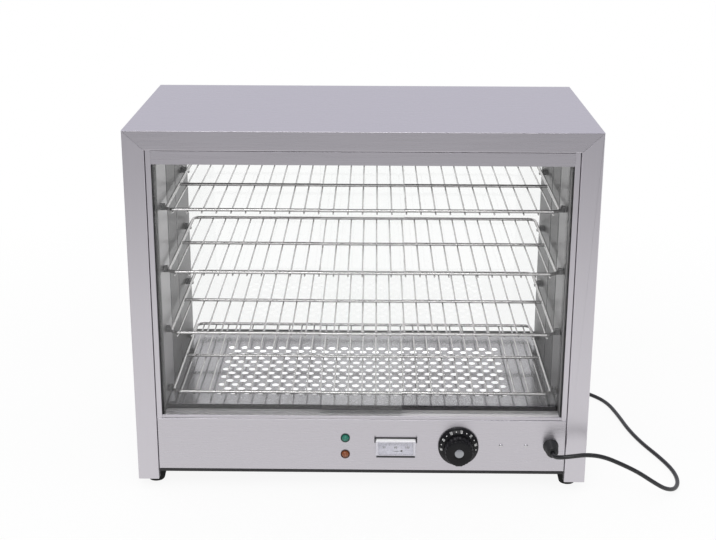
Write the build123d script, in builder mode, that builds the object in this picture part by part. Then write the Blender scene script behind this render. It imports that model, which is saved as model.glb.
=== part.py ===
from build123d import *
import math
import os

os.makedirs("parts", exist_ok=True)

# Driving dimensions, in millimetres. Heights are above the surface that the feet stand on.
# X runs to the right along the front, Y runs away from the operator, Z is up.

# Outer case
case_width = 675.0
case_depth = 365.0
side_height = 537.0
foot_drop = 14.5
sheet = 1.0
stile_width = 31.0
fascia_height = 28.5
lip_depth = 12.0
mitre_gap = 0.3
face_gap = 0.9
knob_length = 28.0
panel_recess = 1.5

# Door opening, its tracks and jambs
jamb_width = 8.5
seal_depth = 1.6
track_depth = 33.9
groove_width = 5.5
front_groove_back = 14.25
rear_groove_back = 27.75
panel_hem = 2.5
panel_return = 7.0
header_height = 20.0
sill_top_above_skin = 100.0
sill_height = 6.0
track_wall = 1.2
carrier_flange = 6.0

# Glass
glass_thickness = 4.0
pane_reach = 60.0
pane_entry = 1.0
pane_gap = 0.3
pane_in_header = 7.0
glass_corner = 3.0

# Inner box
liner_half = 297.0
ceiling_above_skin = 490.0
ledge_width = 15.0
liner_flange = 9.0
liner_groove_width = 5.0
liner_groove_depth = 3.0
liner_groove_slope = 1.0
liner_groove_backs = (128.5, 215.5)
rear_glass_inset = 3.5
liner_glass_gap = 0.5
gasket_width = 8.0

# Base
base_above_skin = 17.0
tray_flange = 14.0
deck_height_above_ledge = 13.0
deck_margin = 1.0
pan_depth = 15.0
pan_rim = 12.0
pan_margin = 4.0

# Deck perforation
hole_size = 11.0
hole_pitch = 21.0
row_pitch = 16.0
hole_columns = 22
hole_rows = 13
hole_field_back = 181.5

# Wire shelves
shelf_half_width = 288.0
shelf_depth = 299.0
shelf_front_back = 51.5
shelf_corner = 12.0
frame_wire = 5.0
bar_wire = 2.6
bar_pitch = 21.3
bar_count = 27
bar_overhang = 2.5
weld_sink = 0.3
first_shelf_above_skin = 122.7
shelf_pitch = 95.7
shelf_names = ("bottom_shelf", "lower_shelf", "upper_shelf", "top_shelf")

# Shelf pegs
peg_front_back = 68.0
peg_rear_back = 297.0
peg_length = 8.0
peg_height = 8.0
peg_tongue = 2.2
peg_gap = 0.3
peg_rivet = 4.0

# Control panel fittings: distance right of centre and height above the skirt of the side panels
lamp_x = -24.1
green_lamp_height = 69.8
amber_lamp_height = 43.3
lamp_diameter = 14.0
lamp_body_diameter = 11.0
lamp_projection = 5.0
lamp_rim = 1.5
lamp_body_length = 24.0
thermometer_x = 51.6
thermometer_height = 55.7
thermometer_width = 60.0
thermometer_tall = 27.0
thermometer_bezel = 3.0
thermometer_projection = 8.0
thermometer_body_depth = 16.0
knob_x = 145.5
knob_height = 58.0
knob_skirt_diameter = 60.5
knob_grip_diameter = 40.0
knob_cap_diameter = 13.5
knob_gap = 0.6
shaft_diameter = 6.0
shaft_clearance = 0.05
screw_left_x = 209.5
screw_spacing = 37.5
screw_height = 58.8
screw_diameter = 3.5
screw_head_diameter = 6.0
screw_head_height = 1.6
gland_x = 284.0
gland_height = 59.0
gland_diameter = 21.0
gland_mouth_diameter = 16.0
gland_length = 25.25
gland_thread_diameter = 14.0
fit_gap = 0.2

# Feet
foot_x = 315.5
foot_back = 32.5
foot_top_radius = 20.0
foot_bottom_radius = 12.0
foot_screw_radius = 2.5

# Heaters
heater_diameter = 8.0
heater_sides = 10
heater_x = 258.0
heater_leg_half = 14.0
heater_through = 16.0
heater_rear_back = 320.0
heater_lift = 8.0
heater_pin_diameter = 4.0
heater_pin_length = 10.0
clip_backs = (130.0, 260.0)
clip_thickness = 2.0

# Thermostat bulb and its capillary
capillary_diameter = 2.4
bulb_diameter = 6.0
bulb_length = 80.0
bulb_sides = 10
bulb_lift = 4.5
bulb_behind_wall = 20.0
bulb_clip_width = 12.0

# Mains lead
cord_diameter = 6.5
cord_sides = 8
coil_x = 250.0
coil_y = 275.0
coil_middle_radius = 36.0
coil_turn_pitch = 7.2
coil_layer_turns = 2.25
floor_gap = 0.25
coil_tail = 27.0

# Places that follow from the driving dimensions
front_y = (knob_length - panel_recess - case_depth) / 2
back_y = front_y + case_depth
half_width = case_width / 2
top_z = foot_drop + side_height
fascia_z = top_z - fascia_height
stile_x = half_width - stile_width
jamb_x = stile_x - jamb_width
panel_y = front_y + panel_recess
track_y = panel_y + sheet + panel_hem + fit_gap
track_back_y = track_y + track_depth
front_groove_y = front_y + front_groove_back
rear_groove_y = front_y + rear_groove_back
sill_z = foot_drop + sill_top_above_skin
ledge_z = sill_z - sill_height
header_z = fascia_z - header_height
ceiling_z = foot_drop + ceiling_above_skin
base_z = foot_drop + base_above_skin
deck_z = ledge_z + deck_height_above_ledge
rear_glass_y = back_y - sheet - rear_glass_inset - glass_thickness
liner_back_y = rear_glass_y - liner_glass_gap
pan_z = ledge_z - pan_depth


def save(piece, name):
    """Label a finished piece and write it to its own file."""
    piece.part.label = name
    export_step(piece.part, f"parts/{name}.step")


def upright(y):
    """Plane facing the operator at the given depth: X across, Z up."""
    return Plane.XZ.offset(-y)


def folded(points, gauge):
    """Closed outline of a folded sheet whose face follows the points, with its metal on their left."""
    inner = []
    for index, point in enumerate(points):
        here = Vector(*point)
        before = Vector(*points[index - 1]) if index else None
        after = Vector(*points[index + 1]) if index + 1 < len(points) else None
        ways = []
        if before is not None:
            ways.append((here - before).normalized())
        if after is not None:
            ways.append((after - here).normalized())
        lefts = [Vector(-way.Y, way.X) for way in ways]
        total = lefts[0] if len(lefts) == 1 else lefts[0] + lefts[1]
        shift = total * (gauge / total.dot(lefts[0]))
        inner.append(here + shift)
    outline = [Vector(*point) for point in points] + inner[::-1]
    return [(corner.X, corner.Y) for corner in outline]


def half_line(low, high):
    """Middle and length of a stretch."""
    return (low + high) / 2, high - low


# Side panels: a C-shaped folded sheet each, whose front flange is the stile of the front frame.
# The flange tops are mitred to meet the top cover.
side_path = [
    (-stile_x, front_y + lip_depth),
    (-stile_x, front_y),
    (-half_width, front_y),
    (-half_width, back_y),
    (-stile_x, back_y),
    (-stile_x, back_y - lip_depth),
]
with BuildPart() as side_panel_left:
    with BuildSketch(Plane.XY.offset(foot_drop)):
        with BuildLine():
            Polyline(*folded(side_path[::-1], sheet), close=True)
        make_face()
    extrude(amount=side_height - sheet)
    with BuildSketch(upright(front_y - 1)):
        with BuildLine():
            Polyline(
                (-stile_x + 2 * sheet, fascia_z - mitre_gap),
                (-stile_x, fascia_z - mitre_gap),
                (-half_width + sheet, top_z - sheet - mitre_gap),
                (-half_width + sheet, top_z + 1),
                (-stile_x + 2 * sheet, top_z + 1),
                close=True,
            )
        make_face()
    extrude(amount=-(case_depth + 2), mode=Mode.SUBTRACT)
save(side_panel_left, "side_panel_left")

with BuildPart() as side_panel_right:
    mirror(side_panel_left.part, about=Plane.YZ)
save(side_panel_right, "side_panel_right")

# Top cover: one folded sheet whose front flange is the fascia over the doors.
cover_path = [
    (front_y + lip_depth, fascia_z),
    (front_y, fascia_z),
    (front_y, top_z),
    (back_y, top_z),
    (back_y, fascia_z),
    (back_y - lip_depth, fascia_z),
]
with BuildPart() as top_cover:
    with BuildSketch(Plane.YZ.offset(-half_width)):
        with BuildLine():
            Polyline(*folded(cover_path[::-1], sheet), close=True)
        make_face()
    extrude(amount=case_width)
    with BuildSketch(upright(front_y - 1)):
        for side in (-1, 1):
            with BuildLine():
                Polyline(
                    (side * stile_x, fascia_z - 1),
                    (side * stile_x, fascia_z),
                    (side * (half_width - sheet), top_z - sheet),
                    (side * (half_width + 1), top_z - sheet),
                    (side * (half_width + 1), fascia_z - 1),
                    close=True,
                )
            make_face()
    extrude(amount=-(case_depth + 2), mode=Mode.SUBTRACT)
save(top_cover, "top_cover")

# Jambs: narrow folded strips that stand on the sill and carry the seals for the pane edges.
jamb_path = [
    (-stile_x + face_gap, panel_y + lip_depth - panel_recess),
    (-stile_x + face_gap, panel_y),
    (-jamb_x, panel_y),
    (-jamb_x, track_back_y),
    (-stile_x, track_back_y),
]
with BuildPart() as jamb_left:
    with BuildSketch(Plane.XY.offset(sill_z)):
        with BuildLine():
            Polyline(*folded(jamb_path, sheet), close=True)
        make_face()
    extrude(amount=fascia_z - sill_z)
save(jamb_left, "jamb_left")

with BuildPart() as jamb_right:
    mirror(jamb_left.part, about=Plane.YZ)
save(jamb_right, "jamb_right")

# Jamb seals: soft strips with a groove for the edge of each pane.
seal_front_y = panel_y + sheet + 2.0
seal_mid_y, seal_run = half_line(seal_front_y, track_back_y - 1)
with BuildPart() as jamb_seal_left:
    with BuildSketch(Plane.XY.offset(sill_z)):
        with Locations((-jamb_x + seal_depth / 2, seal_mid_y)):
            Rectangle(seal_depth, seal_run)
        for groove_y in (front_groove_y, rear_groove_y):
            with Locations((-jamb_x + seal_depth, groove_y)):
                Rectangle(2 * (pane_entry + pane_gap), groove_width, mode=Mode.SUBTRACT)
    extrude(amount=header_z - sill_z)
save(jamb_seal_left, "jamb_seal_left")

with BuildPart() as jamb_seal_right:
    mirror(jamb_seal_left.part, about=Plane.YZ)
save(jamb_seal_right, "jamb_seal_right")


def track_section(low_z, high_z, groove_low, groove_high, chamber_low, chamber_high):
    """Hollow section with two grooves for the panes, drawn across the case."""
    middle_y, depth = half_line(track_y, track_back_y)
    middle_z, height = half_line(low_z, high_z)
    groove_z, groove_tall = half_line(groove_low, groove_high)
    chamber_z, chamber_tall = half_line(chamber_low, chamber_high)
    with Locations((middle_y, middle_z)):
        Rectangle(depth, height)
    for groove_y in (front_groove_y, rear_groove_y):
        with Locations((groove_y, groove_z)):
            Rectangle(groove_width, groove_tall, mode=Mode.SUBTRACT)
    reach = groove_width / 2 + track_wall
    chambers = (
        (track_y + track_wall, front_groove_y - reach),
        (front_groove_y + reach, rear_groove_y - reach),
        (rear_groove_y + reach, track_back_y - track_wall),
    )
    for near_y, far_y in chambers:
        chamber_y, chamber_run = half_line(near_y, far_y)
        with Locations((chamber_y, chamber_z)):
            Rectangle(chamber_run, chamber_tall, mode=Mode.SUBTRACT)


# Sill track: low hollow extrusion between the stiles, open at the top for both panes.
with BuildPart() as sill_track:
    with BuildSketch(Plane.YZ.offset(-stile_x)):
        track_section(
            ledge_z,
            sill_z,
            ledge_z + track_wall,
            sill_z + 1,
            ledge_z + track_wall,
            sill_z - track_wall,
        )
    extrude(amount=2 * stile_x)
save(sill_track, "sill_track")

# Header track: deeper grooves, so that a pane lifts up and out over the sill.
with BuildPart() as header_track:
    with BuildSketch(Plane.YZ.offset(-jamb_x)):
        track_section(
            header_z,
            fascia_z,
            header_z - 1,
            fascia_z - track_wall,
            header_z + track_wall,
            fascia_z - track_wall,
        )
    extrude(amount=2 * jamb_x)
    with BuildSketch(Plane.YZ.offset(-jamb_x)):
        strip_y, strip_run = half_line(panel_y, track_y)
        strip_z, strip_tall = half_line(header_z, fascia_z - face_gap)
        with Locations((strip_y, strip_z)):
            Rectangle(strip_run, strip_tall)
    extrude(amount=2 * jamb_x)
save(header_track, "header_track")

# Track carrier: flat rail under the sill, which also closes the front of the pan recess.
carrier_z = ledge_z - sheet
carrier_back_y = track_back_y + ledge_width
rail_mid_y, rail_run = half_line(track_y, track_back_y)
inner_mid_y, inner_run = half_line(track_back_y, carrier_back_y)
with BuildPart() as track_carrier:
    with BuildSketch(Plane.XY.offset(carrier_z)):
        with Locations((0, rail_mid_y)):
            Rectangle(2 * stile_x, rail_run)
        with Locations((0, inner_mid_y)):
            Rectangle(2 * (liner_half - ledge_width), inner_run)
    extrude(amount=sheet)
    with BuildSketch(upright(carrier_back_y - sheet)):
        with Locations((0, carrier_z - carrier_flange / 2)):
            Rectangle(2 * (heater_x - heater_leg_half - heater_diameter), carrier_flange)
    extrude(amount=-sheet)
save(track_carrier, "track_carrier")

# Control panel: face with returns behind its edges and the openings for the fittings.
panel_half = stile_x - face_gap
panel_mid_z, panel_tall = half_line(base_z, sill_z)
knob_z = foot_drop + knob_height
thermometer_z = foot_drop + thermometer_height
green_z = foot_drop + green_lamp_height
amber_z = foot_drop + amber_lamp_height
screw_z = foot_drop + screw_height
gland_z = foot_drop + gland_height
with BuildPart() as control_panel:
    with BuildSketch(upright(panel_y)):
        with Locations((0, panel_mid_z)):
            Rectangle(2 * panel_half, panel_tall)
        with Locations((lamp_x, green_z), (lamp_x, amber_z)):
            Circle(lamp_body_diameter / 2 + fit_gap, mode=Mode.SUBTRACT)
        with Locations((thermometer_x, thermometer_z)):
            Rectangle(
                thermometer_width - 2 * thermometer_bezel + 2 * fit_gap,
                thermometer_tall - 2 * thermometer_bezel + 2 * fit_gap,
                mode=Mode.SUBTRACT,
            )
        with Locations((knob_x, knob_z)):
            Circle(shaft_diameter / 2 + 1, mode=Mode.SUBTRACT)
        with Locations((screw_left_x, screw_z), (screw_left_x + screw_spacing, screw_z)):
            Circle(screw_diameter / 2 + fit_gap, mode=Mode.SUBTRACT)
        with Locations((gland_x, gland_z)):
            Circle(gland_thread_diameter / 2 + fit_gap, mode=Mode.SUBTRACT)
    extrude(amount=-sheet)
    with BuildSketch(upright(panel_y + sheet)):
        with Locations((0, sill_z - sheet / 2)):
            Rectangle(2 * panel_half, sheet)
    extrude(amount=-panel_hem)
    with BuildSketch(upright(panel_y + sheet)):
        with Locations((0, base_z + sheet / 2)):
            Rectangle(2 * panel_half, sheet)
    extrude(amount=-panel_return)
    with BuildSketch(upright(panel_y + sheet)):
        for side in (-1, 1):
            with Locations((side * (panel_half - sheet / 2), (base_z + carrier_z) / 2)):
                Rectangle(sheet, carrier_z - base_z)
    extrude(amount=-(lip_depth - panel_recess - sheet))
save(control_panel, "control_panel")

# Rear panel: closes the base behind the heaters, with a row of vent slots.
rear_panel_top = deck_z - 2
vent_pitch = 24.0
vent_count = 18
vent_width = 5.0
with BuildPart() as rear_panel:
    rear_mid_z, rear_tall = half_line(base_z, rear_panel_top)
    with BuildSketch(upright(back_y - 2 * sheet)):
        with Locations((0, rear_mid_z)):
            Rectangle(2 * panel_half, rear_tall)
            with GridLocations(vent_pitch, 1, vent_count, 1):
                Rectangle(vent_width, 30, mode=Mode.SUBTRACT)
    extrude(amount=-sheet)
    with BuildSketch(upright(back_y - 2 * sheet)):
        with Locations((0, base_z + sheet / 2)):
            Rectangle(2 * panel_half, sheet)
    extrude(amount=panel_return)
    with BuildSketch(upright(back_y - 2 * sheet)):
        with Locations((0, rear_panel_top - sheet / 2)):
            Rectangle(2 * panel_half, sheet)
    extrude(amount=back_y - 2 * sheet - rear_glass_y)
save(rear_panel, "rear_panel")

# Base tray: floor of the case, wide between the side panels and narrow between the stiles.
tray_z = base_z + sheet
tray_front_y = panel_y + 2 * sheet
tray_back_y = back_y - 2 * sheet
tray_half = half_width - sheet - fit_gap
tray_mid_y, tray_run = half_line(tray_front_y, tray_back_y)
wing_run = case_depth - 2 * (lip_depth + 1)
foot_ys = (front_y + foot_back, back_y - foot_back)
with BuildPart() as base_tray:
    with BuildSketch(Plane.XY.offset(tray_z)):
        with Locations((0, tray_mid_y)):
            Rectangle(2 * (panel_half - sheet), tray_run)
        with Locations((0, (front_y + back_y) / 2)):
            Rectangle(2 * tray_half, wing_run)
        with Locations([(side * foot_x, foot_y) for side in (-1, 1) for foot_y in foot_ys]):
            Circle(foot_screw_radius + fit_gap, mode=Mode.SUBTRACT)
        with Locations((0, tray_mid_y)):
            with GridLocations(36, 60, 9, 3):
                Rectangle(24, vent_width, mode=Mode.SUBTRACT)
    extrude(amount=sheet)
    with BuildSketch(Plane.XY.offset(tray_z + sheet)):
        for side in (-1, 1):
            with Locations((side * (tray_half - sheet / 2), (front_y + back_y) / 2)):
                Rectangle(sheet, wing_run)
    extrude(amount=tray_flange)
save(base_tray, "base_tray")

# Side liners: inner walls with two pressed grooves, a ledge for the pan and rivet holes for the pegs.
liner_path = [(-liner_half - liner_flange, track_back_y), (-liner_half, track_back_y)]
for groove_back in liner_groove_backs:
    groove_y = front_y + groove_back
    groove_half = liner_groove_width / 2
    floor_half = groove_half - liner_groove_slope
    liner_path += [
        (-liner_half, groove_y - groove_half),
        (-liner_half - liner_groove_depth, groove_y - floor_half),
        (-liner_half - liner_groove_depth, groove_y + floor_half),
        (-liner_half, groove_y + groove_half),
    ]
liner_path += [(-liner_half, liner_back_y), (-liner_half - liner_flange, liner_back_y)]
first_shelf_z = foot_drop + first_shelf_above_skin
shelf_heights = [first_shelf_z + shelf_pitch * step for step in range(len(shelf_names))]
peg_ys = (front_y + peg_front_back, front_y + peg_rear_back)
liner_mid_y, liner_run = half_line(track_back_y, liner_back_y)
with BuildPart() as side_liner_left:
    with BuildSketch(Plane.XY.offset(carrier_z)):
        with BuildLine():
            Polyline(*folded(liner_path, sheet), close=True)
        make_face()
    extrude(amount=ceiling_z + sheet - carrier_z)
    with BuildSketch(Plane.XY.offset(carrier_z)):
        with Locations((-liner_half + ledge_width / 2, liner_mid_y)):
            Rectangle(ledge_width, liner_run)
    extrude(amount=sheet)
    with BuildSketch(Plane.YZ.offset(-liner_half)):
        with Locations([(peg_y, height) for peg_y in peg_ys for height in shelf_heights]):
            RegularPolygon(peg_rivet / 2 + fit_gap, 8)
    extrude(amount=2 * sheet, both=True, mode=Mode.SUBTRACT)
save(side_liner_left, "side_liner_left")

with BuildPart() as side_liner_right:
    mirror(side_liner_left.part, about=Plane.YZ)
save(side_liner_right, "side_liner_right")

# Ceiling liner: flat sheet between the side liners, stiffened by a fold up at front and back.
ceiling_path = [
    (track_back_y, ceiling_z + ledge_width),
    (track_back_y, ceiling_z),
    (liner_back_y, ceiling_z),
    (liner_back_y, ceiling_z + ledge_width),
]
with BuildPart() as ceiling_liner:
    with BuildSketch(Plane.YZ.offset(-liner_half)):
        with BuildLine():
            Polyline(*folded(ceiling_path, sheet), close=True)
        make_face()
    extrude(amount=2 * liner_half)
save(ceiling_liner, "ceiling_liner")

# Rear glass: fixed pane behind the liners, bedded in a soft gasket.
rear_pane_half = stile_x - 2.0
rear_pane_low = rear_panel_top + pane_gap
rear_pane_high = fascia_z - pane_gap
rear_pane_mid, rear_pane_tall = half_line(rear_pane_low, rear_pane_high)
with BuildPart() as rear_glass:
    with BuildSketch(upright(rear_glass_y)):
        with Locations((0, rear_pane_mid)):
            RectangleRounded(2 * rear_pane_half, rear_pane_tall, glass_corner)
    extrude(amount=-glass_thickness)
save(rear_glass, "rear_glass")

gasket_y = rear_glass_y + glass_thickness
with BuildPart() as rear_gasket:
    with BuildSketch(upright(gasket_y)):
        with Locations((0, (rear_panel_top + fascia_z) / 2)):
            Rectangle(2 * stile_x, fascia_z - rear_panel_top)
        with Locations((0, rear_pane_mid)):
            Rectangle(
                2 * (rear_pane_half - gasket_width),
                rear_pane_tall - 2 * gasket_width,
                mode=Mode.SUBTRACT,
            )
    extrude(amount=-(back_y - sheet - gasket_y))
save(rear_gasket, "rear_gasket")

# Sliding panes: the left one runs in the front groove, the right one in the rear groove.
pane_edge = jamb_x - seal_depth + pane_entry
pane_low = ledge_z + track_wall + pane_gap
pane_high = header_z + pane_in_header
pane_mid_z, pane_tall = half_line(pane_low, pane_high)
pane_width = pane_edge + pane_reach
pane_mid_x = (pane_reach - pane_edge) / 2
with BuildPart() as glass_door_left:
    with BuildSketch(upright(front_groove_y - glass_thickness / 2)):
        with Locations((pane_mid_x, pane_mid_z)):
            RectangleRounded(pane_width, pane_tall, glass_corner)
    extrude(amount=-glass_thickness)
save(glass_door_left, "glass_door_left")

with BuildPart() as glass_door_right:
    with BuildSketch(upright(rear_groove_y - glass_thickness / 2)):
        with Locations((-pane_mid_x, pane_mid_z)):
            RectangleRounded(pane_width, pane_tall, glass_corner)
    extrude(amount=-glass_thickness)
save(glass_door_right, "glass_door_right")

# Shelf pegs: stub with a tongue that the shelf's side wire rests on, riveted through the liner.
wire_half = frame_wire / 2
peg_face_x = shelf_half_width + wire_half + peg_gap
tongue_x = shelf_half_width - wire_half
with BuildPart() as shelf_pegs_left:
    for peg_y in peg_ys:
        for height in shelf_heights:
            tongue_z = height - wire_half
            with BuildSketch(upright(peg_y - peg_length / 2)):
                with BuildLine():
                    Polyline(
                        (-liner_half, height + peg_height / 2),
                        (-peg_face_x, height + peg_height / 2),
                        (-peg_face_x, tongue_z),
                        (-tongue_x, tongue_z),
                        (-tongue_x, tongue_z - peg_tongue),
                        (-liner_half, tongue_z - peg_tongue),
                        close=True,
                    )
                make_face()
            extrude(amount=-peg_length)
            with BuildSketch(Plane.YZ.offset(-liner_half)):
                with Locations((peg_y, height)):
                    RegularPolygon(peg_rivet / 2, 8)
            extrude(amount=-2 * sheet)
save(shelf_pegs_left, "shelf_pegs_left")

with BuildPart() as shelf_pegs_right:
    mirror(shelf_pegs_left.part, about=Plane.YZ)
save(shelf_pegs_right, "shelf_pegs_right")

# Wire shelves: rounded frame with one cross wire, and bars welded underneath from front to back.
shelf_front_y = front_y + shelf_front_back
shelf_rear_y = shelf_front_y + shelf_depth
shelf_mid_y = (shelf_front_y + shelf_rear_y) / 2
octagon_radius = wire_half / math.cos(math.pi / 8)
for name, height in zip(shelf_names, shelf_heights):
    with BuildPart() as shelf:
        with BuildLine(Plane.XY.offset(height)) as frame_path:
            FilletPolyline(
                (shelf_half_width, shelf_front_y),
                (shelf_half_width, shelf_rear_y),
                (-shelf_half_width, shelf_rear_y),
                (-shelf_half_width, shelf_front_y),
                radius=shelf_corner,
                close=True,
            )
        frame_wire_path = frame_path.wire()
        with BuildSketch(Plane(origin=frame_wire_path @ 0, x_dir=(0, 0, 1), z_dir=frame_wire_path % 0)):
            RegularPolygon(octagon_radius, 8, rotation=22.5)
        sweep(path=frame_wire_path)
        with BuildSketch(Plane.YZ.offset(-shelf_half_width)):
            with Locations((shelf_mid_y, height)):
                RegularPolygon(octagon_radius, 8, rotation=22.5)
        extrude(amount=2 * shelf_half_width)
        bar_z = height - wire_half - bar_wire / 2 + weld_sink
        with BuildSketch(upright(shelf_front_y - wire_half - bar_overhang)):
            with Locations((0, bar_z)):
                with GridLocations(bar_pitch, 1, bar_count, 1):
                    Rectangle(bar_wire, bar_wire)
        extrude(amount=-(shelf_depth + frame_wire + 2 * bar_overhang))
    save(shelf, name)

# Heat pan: bright tray under the deck, whose rim lies on the ledges.
pan_half = liner_half - pan_margin
pan_front_y = track_back_y + pan_margin
pan_back_y = liner_back_y - pan_margin
pan_mid_y, pan_run = half_line(pan_front_y, pan_back_y)
well_half = pan_half - pan_rim - 1
well_run = pan_run - 2 * (pan_rim + 1)
heater_z = pan_z + sheet + heater_lift
heater_xs = (heater_x - heater_leg_half, heater_x + heater_leg_half)
well_front_y = pan_mid_y - well_run / 2
capillary_x = knob_x - 10
bulb_z = pan_z + sheet + bulb_lift
with BuildPart() as heat_pan:
    with BuildSketch(Plane.XY.offset(ledge_z)):
        with Locations((0, pan_mid_y)):
            Rectangle(2 * pan_half, pan_run)
            Rectangle(2 * (well_half - sheet), well_run - 2 * sheet, mode=Mode.SUBTRACT)
    extrude(amount=sheet)
    with BuildSketch(Plane.XY.offset(pan_z)):
        with Locations((0, pan_mid_y)):
            Rectangle(2 * well_half, well_run)
    extrude(amount=pan_depth)
    with BuildSketch(Plane.XY.offset(pan_z + sheet)):
        with Locations((0, pan_mid_y)):
            Rectangle(2 * (well_half - sheet), well_run - 2 * sheet)
    extrude(amount=pan_depth + sheet, mode=Mode.SUBTRACT)
    with BuildSketch(upright(well_front_y - 1)):
        with Locations([(side * leg_x, heater_z) for side in (-1, 1) for leg_x in heater_xs]):
            RegularPolygon(heater_diameter / 2 + fit_gap, heater_sides, major_radius=False)
        with Locations((capillary_x, bulb_z)):
            RegularPolygon(capillary_diameter / 2 + fit_gap, 8, major_radius=False)
    extrude(amount=-(sheet + 2), mode=Mode.SUBTRACT)
save(heat_pan, "heat_pan")

# Perforated deck: loose tray with a skirt that stands on the ledges around the rim of the pan.
deck_half = liner_half - deck_margin
deck_front_y = track_back_y + 2.4
deck_back_y = liner_back_y - deck_margin
deck_mid_y, deck_run = half_line(deck_front_y, deck_back_y)
hole_y = front_y + hole_field_back
hole_radius = hole_size / 2
with BuildPart() as perforated_deck:
    with BuildSketch(Plane.XY.offset(deck_z - sheet)):
        with Locations((0, deck_mid_y)):
            Rectangle(2 * deck_half, deck_run)
        with Locations((0, hole_y)):
            with GridLocations(hole_pitch, 2 * row_pitch, hole_columns, (hole_rows + 1) // 2):
                RegularPolygon(hole_radius, 6, rotation=30, mode=Mode.SUBTRACT)
            with GridLocations(hole_pitch, 2 * row_pitch, hole_columns - 1, hole_rows // 2):
                RegularPolygon(hole_radius, 6, rotation=30, mode=Mode.SUBTRACT)
    extrude(amount=sheet)
    with BuildSketch(Plane.XY.offset(ledge_z)):
        with Locations((0, deck_mid_y)):
            Rectangle(2 * deck_half, deck_run)
            Rectangle(2 * (deck_half - sheet), deck_run - 2 * sheet, mode=Mode.SUBTRACT)
    extrude(amount=deck_z - sheet - ledge_z)
save(perforated_deck, "perforated_deck")

# Heaters: one hairpin of sheathed tube under each solid margin of the deck.
heater_front_y = well_front_y - heater_through
heater_rear_y = front_y + heater_rear_back
with BuildPart() as heater_left:
    with BuildLine(Plane.XY.offset(heater_z)) as hairpin:
        FilletPolyline(
            (-heater_xs[0], heater_front_y),
            (-heater_xs[0], heater_rear_y),
            (-heater_xs[1], heater_rear_y),
            (-heater_xs[1], heater_front_y),
            radius=heater_leg_half - 2,
        )
    with BuildSketch(Plane(origin=(-heater_xs[0], heater_front_y, heater_z), z_dir=(0, 1, 0))):
        RegularPolygon(heater_diameter / 2, heater_sides)
    sweep(path=hairpin.wire())
save(heater_left, "heater_left")

with BuildPart() as heater_right:
    mirror(heater_left.part, about=Plane.YZ)
save(heater_right, "heater_right")

# Heater ends: an insulating collar and a terminal pin on each leg.
leg_places = [(side * leg_x, heater_z) for side in (-1, 1) for leg_x in heater_xs]
with BuildPart() as heater_terminals:
    with BuildSketch(upright(heater_front_y)):
        with Locations(leg_places):
            RegularPolygon(heater_diameter / 2, heater_sides)
    extrude(amount=heater_pin_length / 2)
    with BuildSketch(upright(heater_front_y - heater_pin_length / 2)):
        with Locations(leg_places):
            RegularPolygon(heater_pin_diameter / 2, 8)
    extrude(amount=heater_pin_length / 2)
save(heater_terminals, "heater_terminals")

# Heater clips: upright plates on the floor of the pan that both legs pass through.
clip_z, clip_tall = half_line(pan_z + sheet, ledge_z)
with BuildPart() as heater_clips:
    for clip_back in clip_backs:
        with BuildSketch(upright(front_y + clip_back)):
            for side in (-1, 1):
                with Locations((side * heater_x, clip_z)):
                    Rectangle(2 * heater_leg_half + heater_diameter + 6, clip_tall)
            with Locations(leg_places):
                RegularPolygon(
                    heater_diameter / 2 + fit_gap,
                    heater_sides,
                    major_radius=False,
                    mode=Mode.SUBTRACT,
                )
        extrude(amount=-clip_thickness)
save(heater_clips, "heater_clips")

# Feet: tapered rubber, hollowed underneath for the head of the screw that holds each one.
foot_names = ("foot_front_left", "foot_rear_left", "foot_front_right", "foot_rear_right")
foot_places = [(side * foot_x, foot_y) for side in (-1, 1) for foot_y in foot_ys]
foot_recess = 8.0
foot_sides = 24
for name, place in zip(foot_names, foot_places):
    with BuildPart() as foot:
        with BuildSketch(Plane.XY):
            with Locations(place):
                RegularPolygon(foot_bottom_radius, foot_sides)
        with BuildSketch(Plane.XY.offset(base_z + sheet)):
            with Locations(place):
                RegularPolygon(foot_top_radius, foot_sides)
        loft()
        with BuildSketch(Plane.XY):
            with Locations(place):
                RegularPolygon(foot_recess, foot_sides // 2)
        extrude(amount=foot_recess, mode=Mode.SUBTRACT)
        with BuildSketch(Plane.XY):
            with Locations(place):
                RegularPolygon(foot_screw_radius + fit_gap, 8)
        extrude(amount=base_z + sheet, mode=Mode.SUBTRACT)
    save(foot, name)

with BuildPart() as foot_screws:
    with BuildSketch(Plane.XY.offset(foot_recess - 3)):
        with Locations(foot_places):
            RegularPolygon(4.5, 8)
    extrude(amount=3)
    with BuildSketch(Plane.XY.offset(foot_recess)):
        with Locations(foot_places):
            RegularPolygon(foot_screw_radius, 8)
    extrude(amount=tray_z + 2 * sheet + 5 - foot_recess)
    with BuildSketch(Plane.XY.offset(tray_z + sheet)):
        with Locations(foot_places):
            RegularPolygon(4.5, 6)
    extrude(amount=4)
save(foot_screws, "foot_screws")

# Thermostat: body behind the panel, with four tabs for its wires.
bush_length = 6.0
thermostat_y = panel_y + sheet
thermostat_body_size = (42.0, 26.0, 34.0)
with BuildPart() as thermostat_body:
    with BuildSketch(upright(thermostat_y)):
        with Locations((knob_x, knob_z)):
            RectangleRounded(thermostat_body_size[0], thermostat_body_size[2], 3)
            Circle(shaft_diameter / 2 + shaft_clearance, mode=Mode.SUBTRACT)
    extrude(amount=-bush_length)
    with BuildSketch(upright(thermostat_y + bush_length)):
        with Locations((knob_x, knob_z)):
            RectangleRounded(thermostat_body_size[0], thermostat_body_size[2], 3)
    extrude(amount=-(thermostat_body_size[1] - bush_length))
    with BuildSketch(upright(thermostat_y + thermostat_body_size[1])):
        with Locations((knob_x, knob_z)):
            with GridLocations(22, 16, 2, 2):
                Rectangle(6, 0.8)
    extrude(amount=-8)
save(thermostat_body, "thermostat_body")

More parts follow.
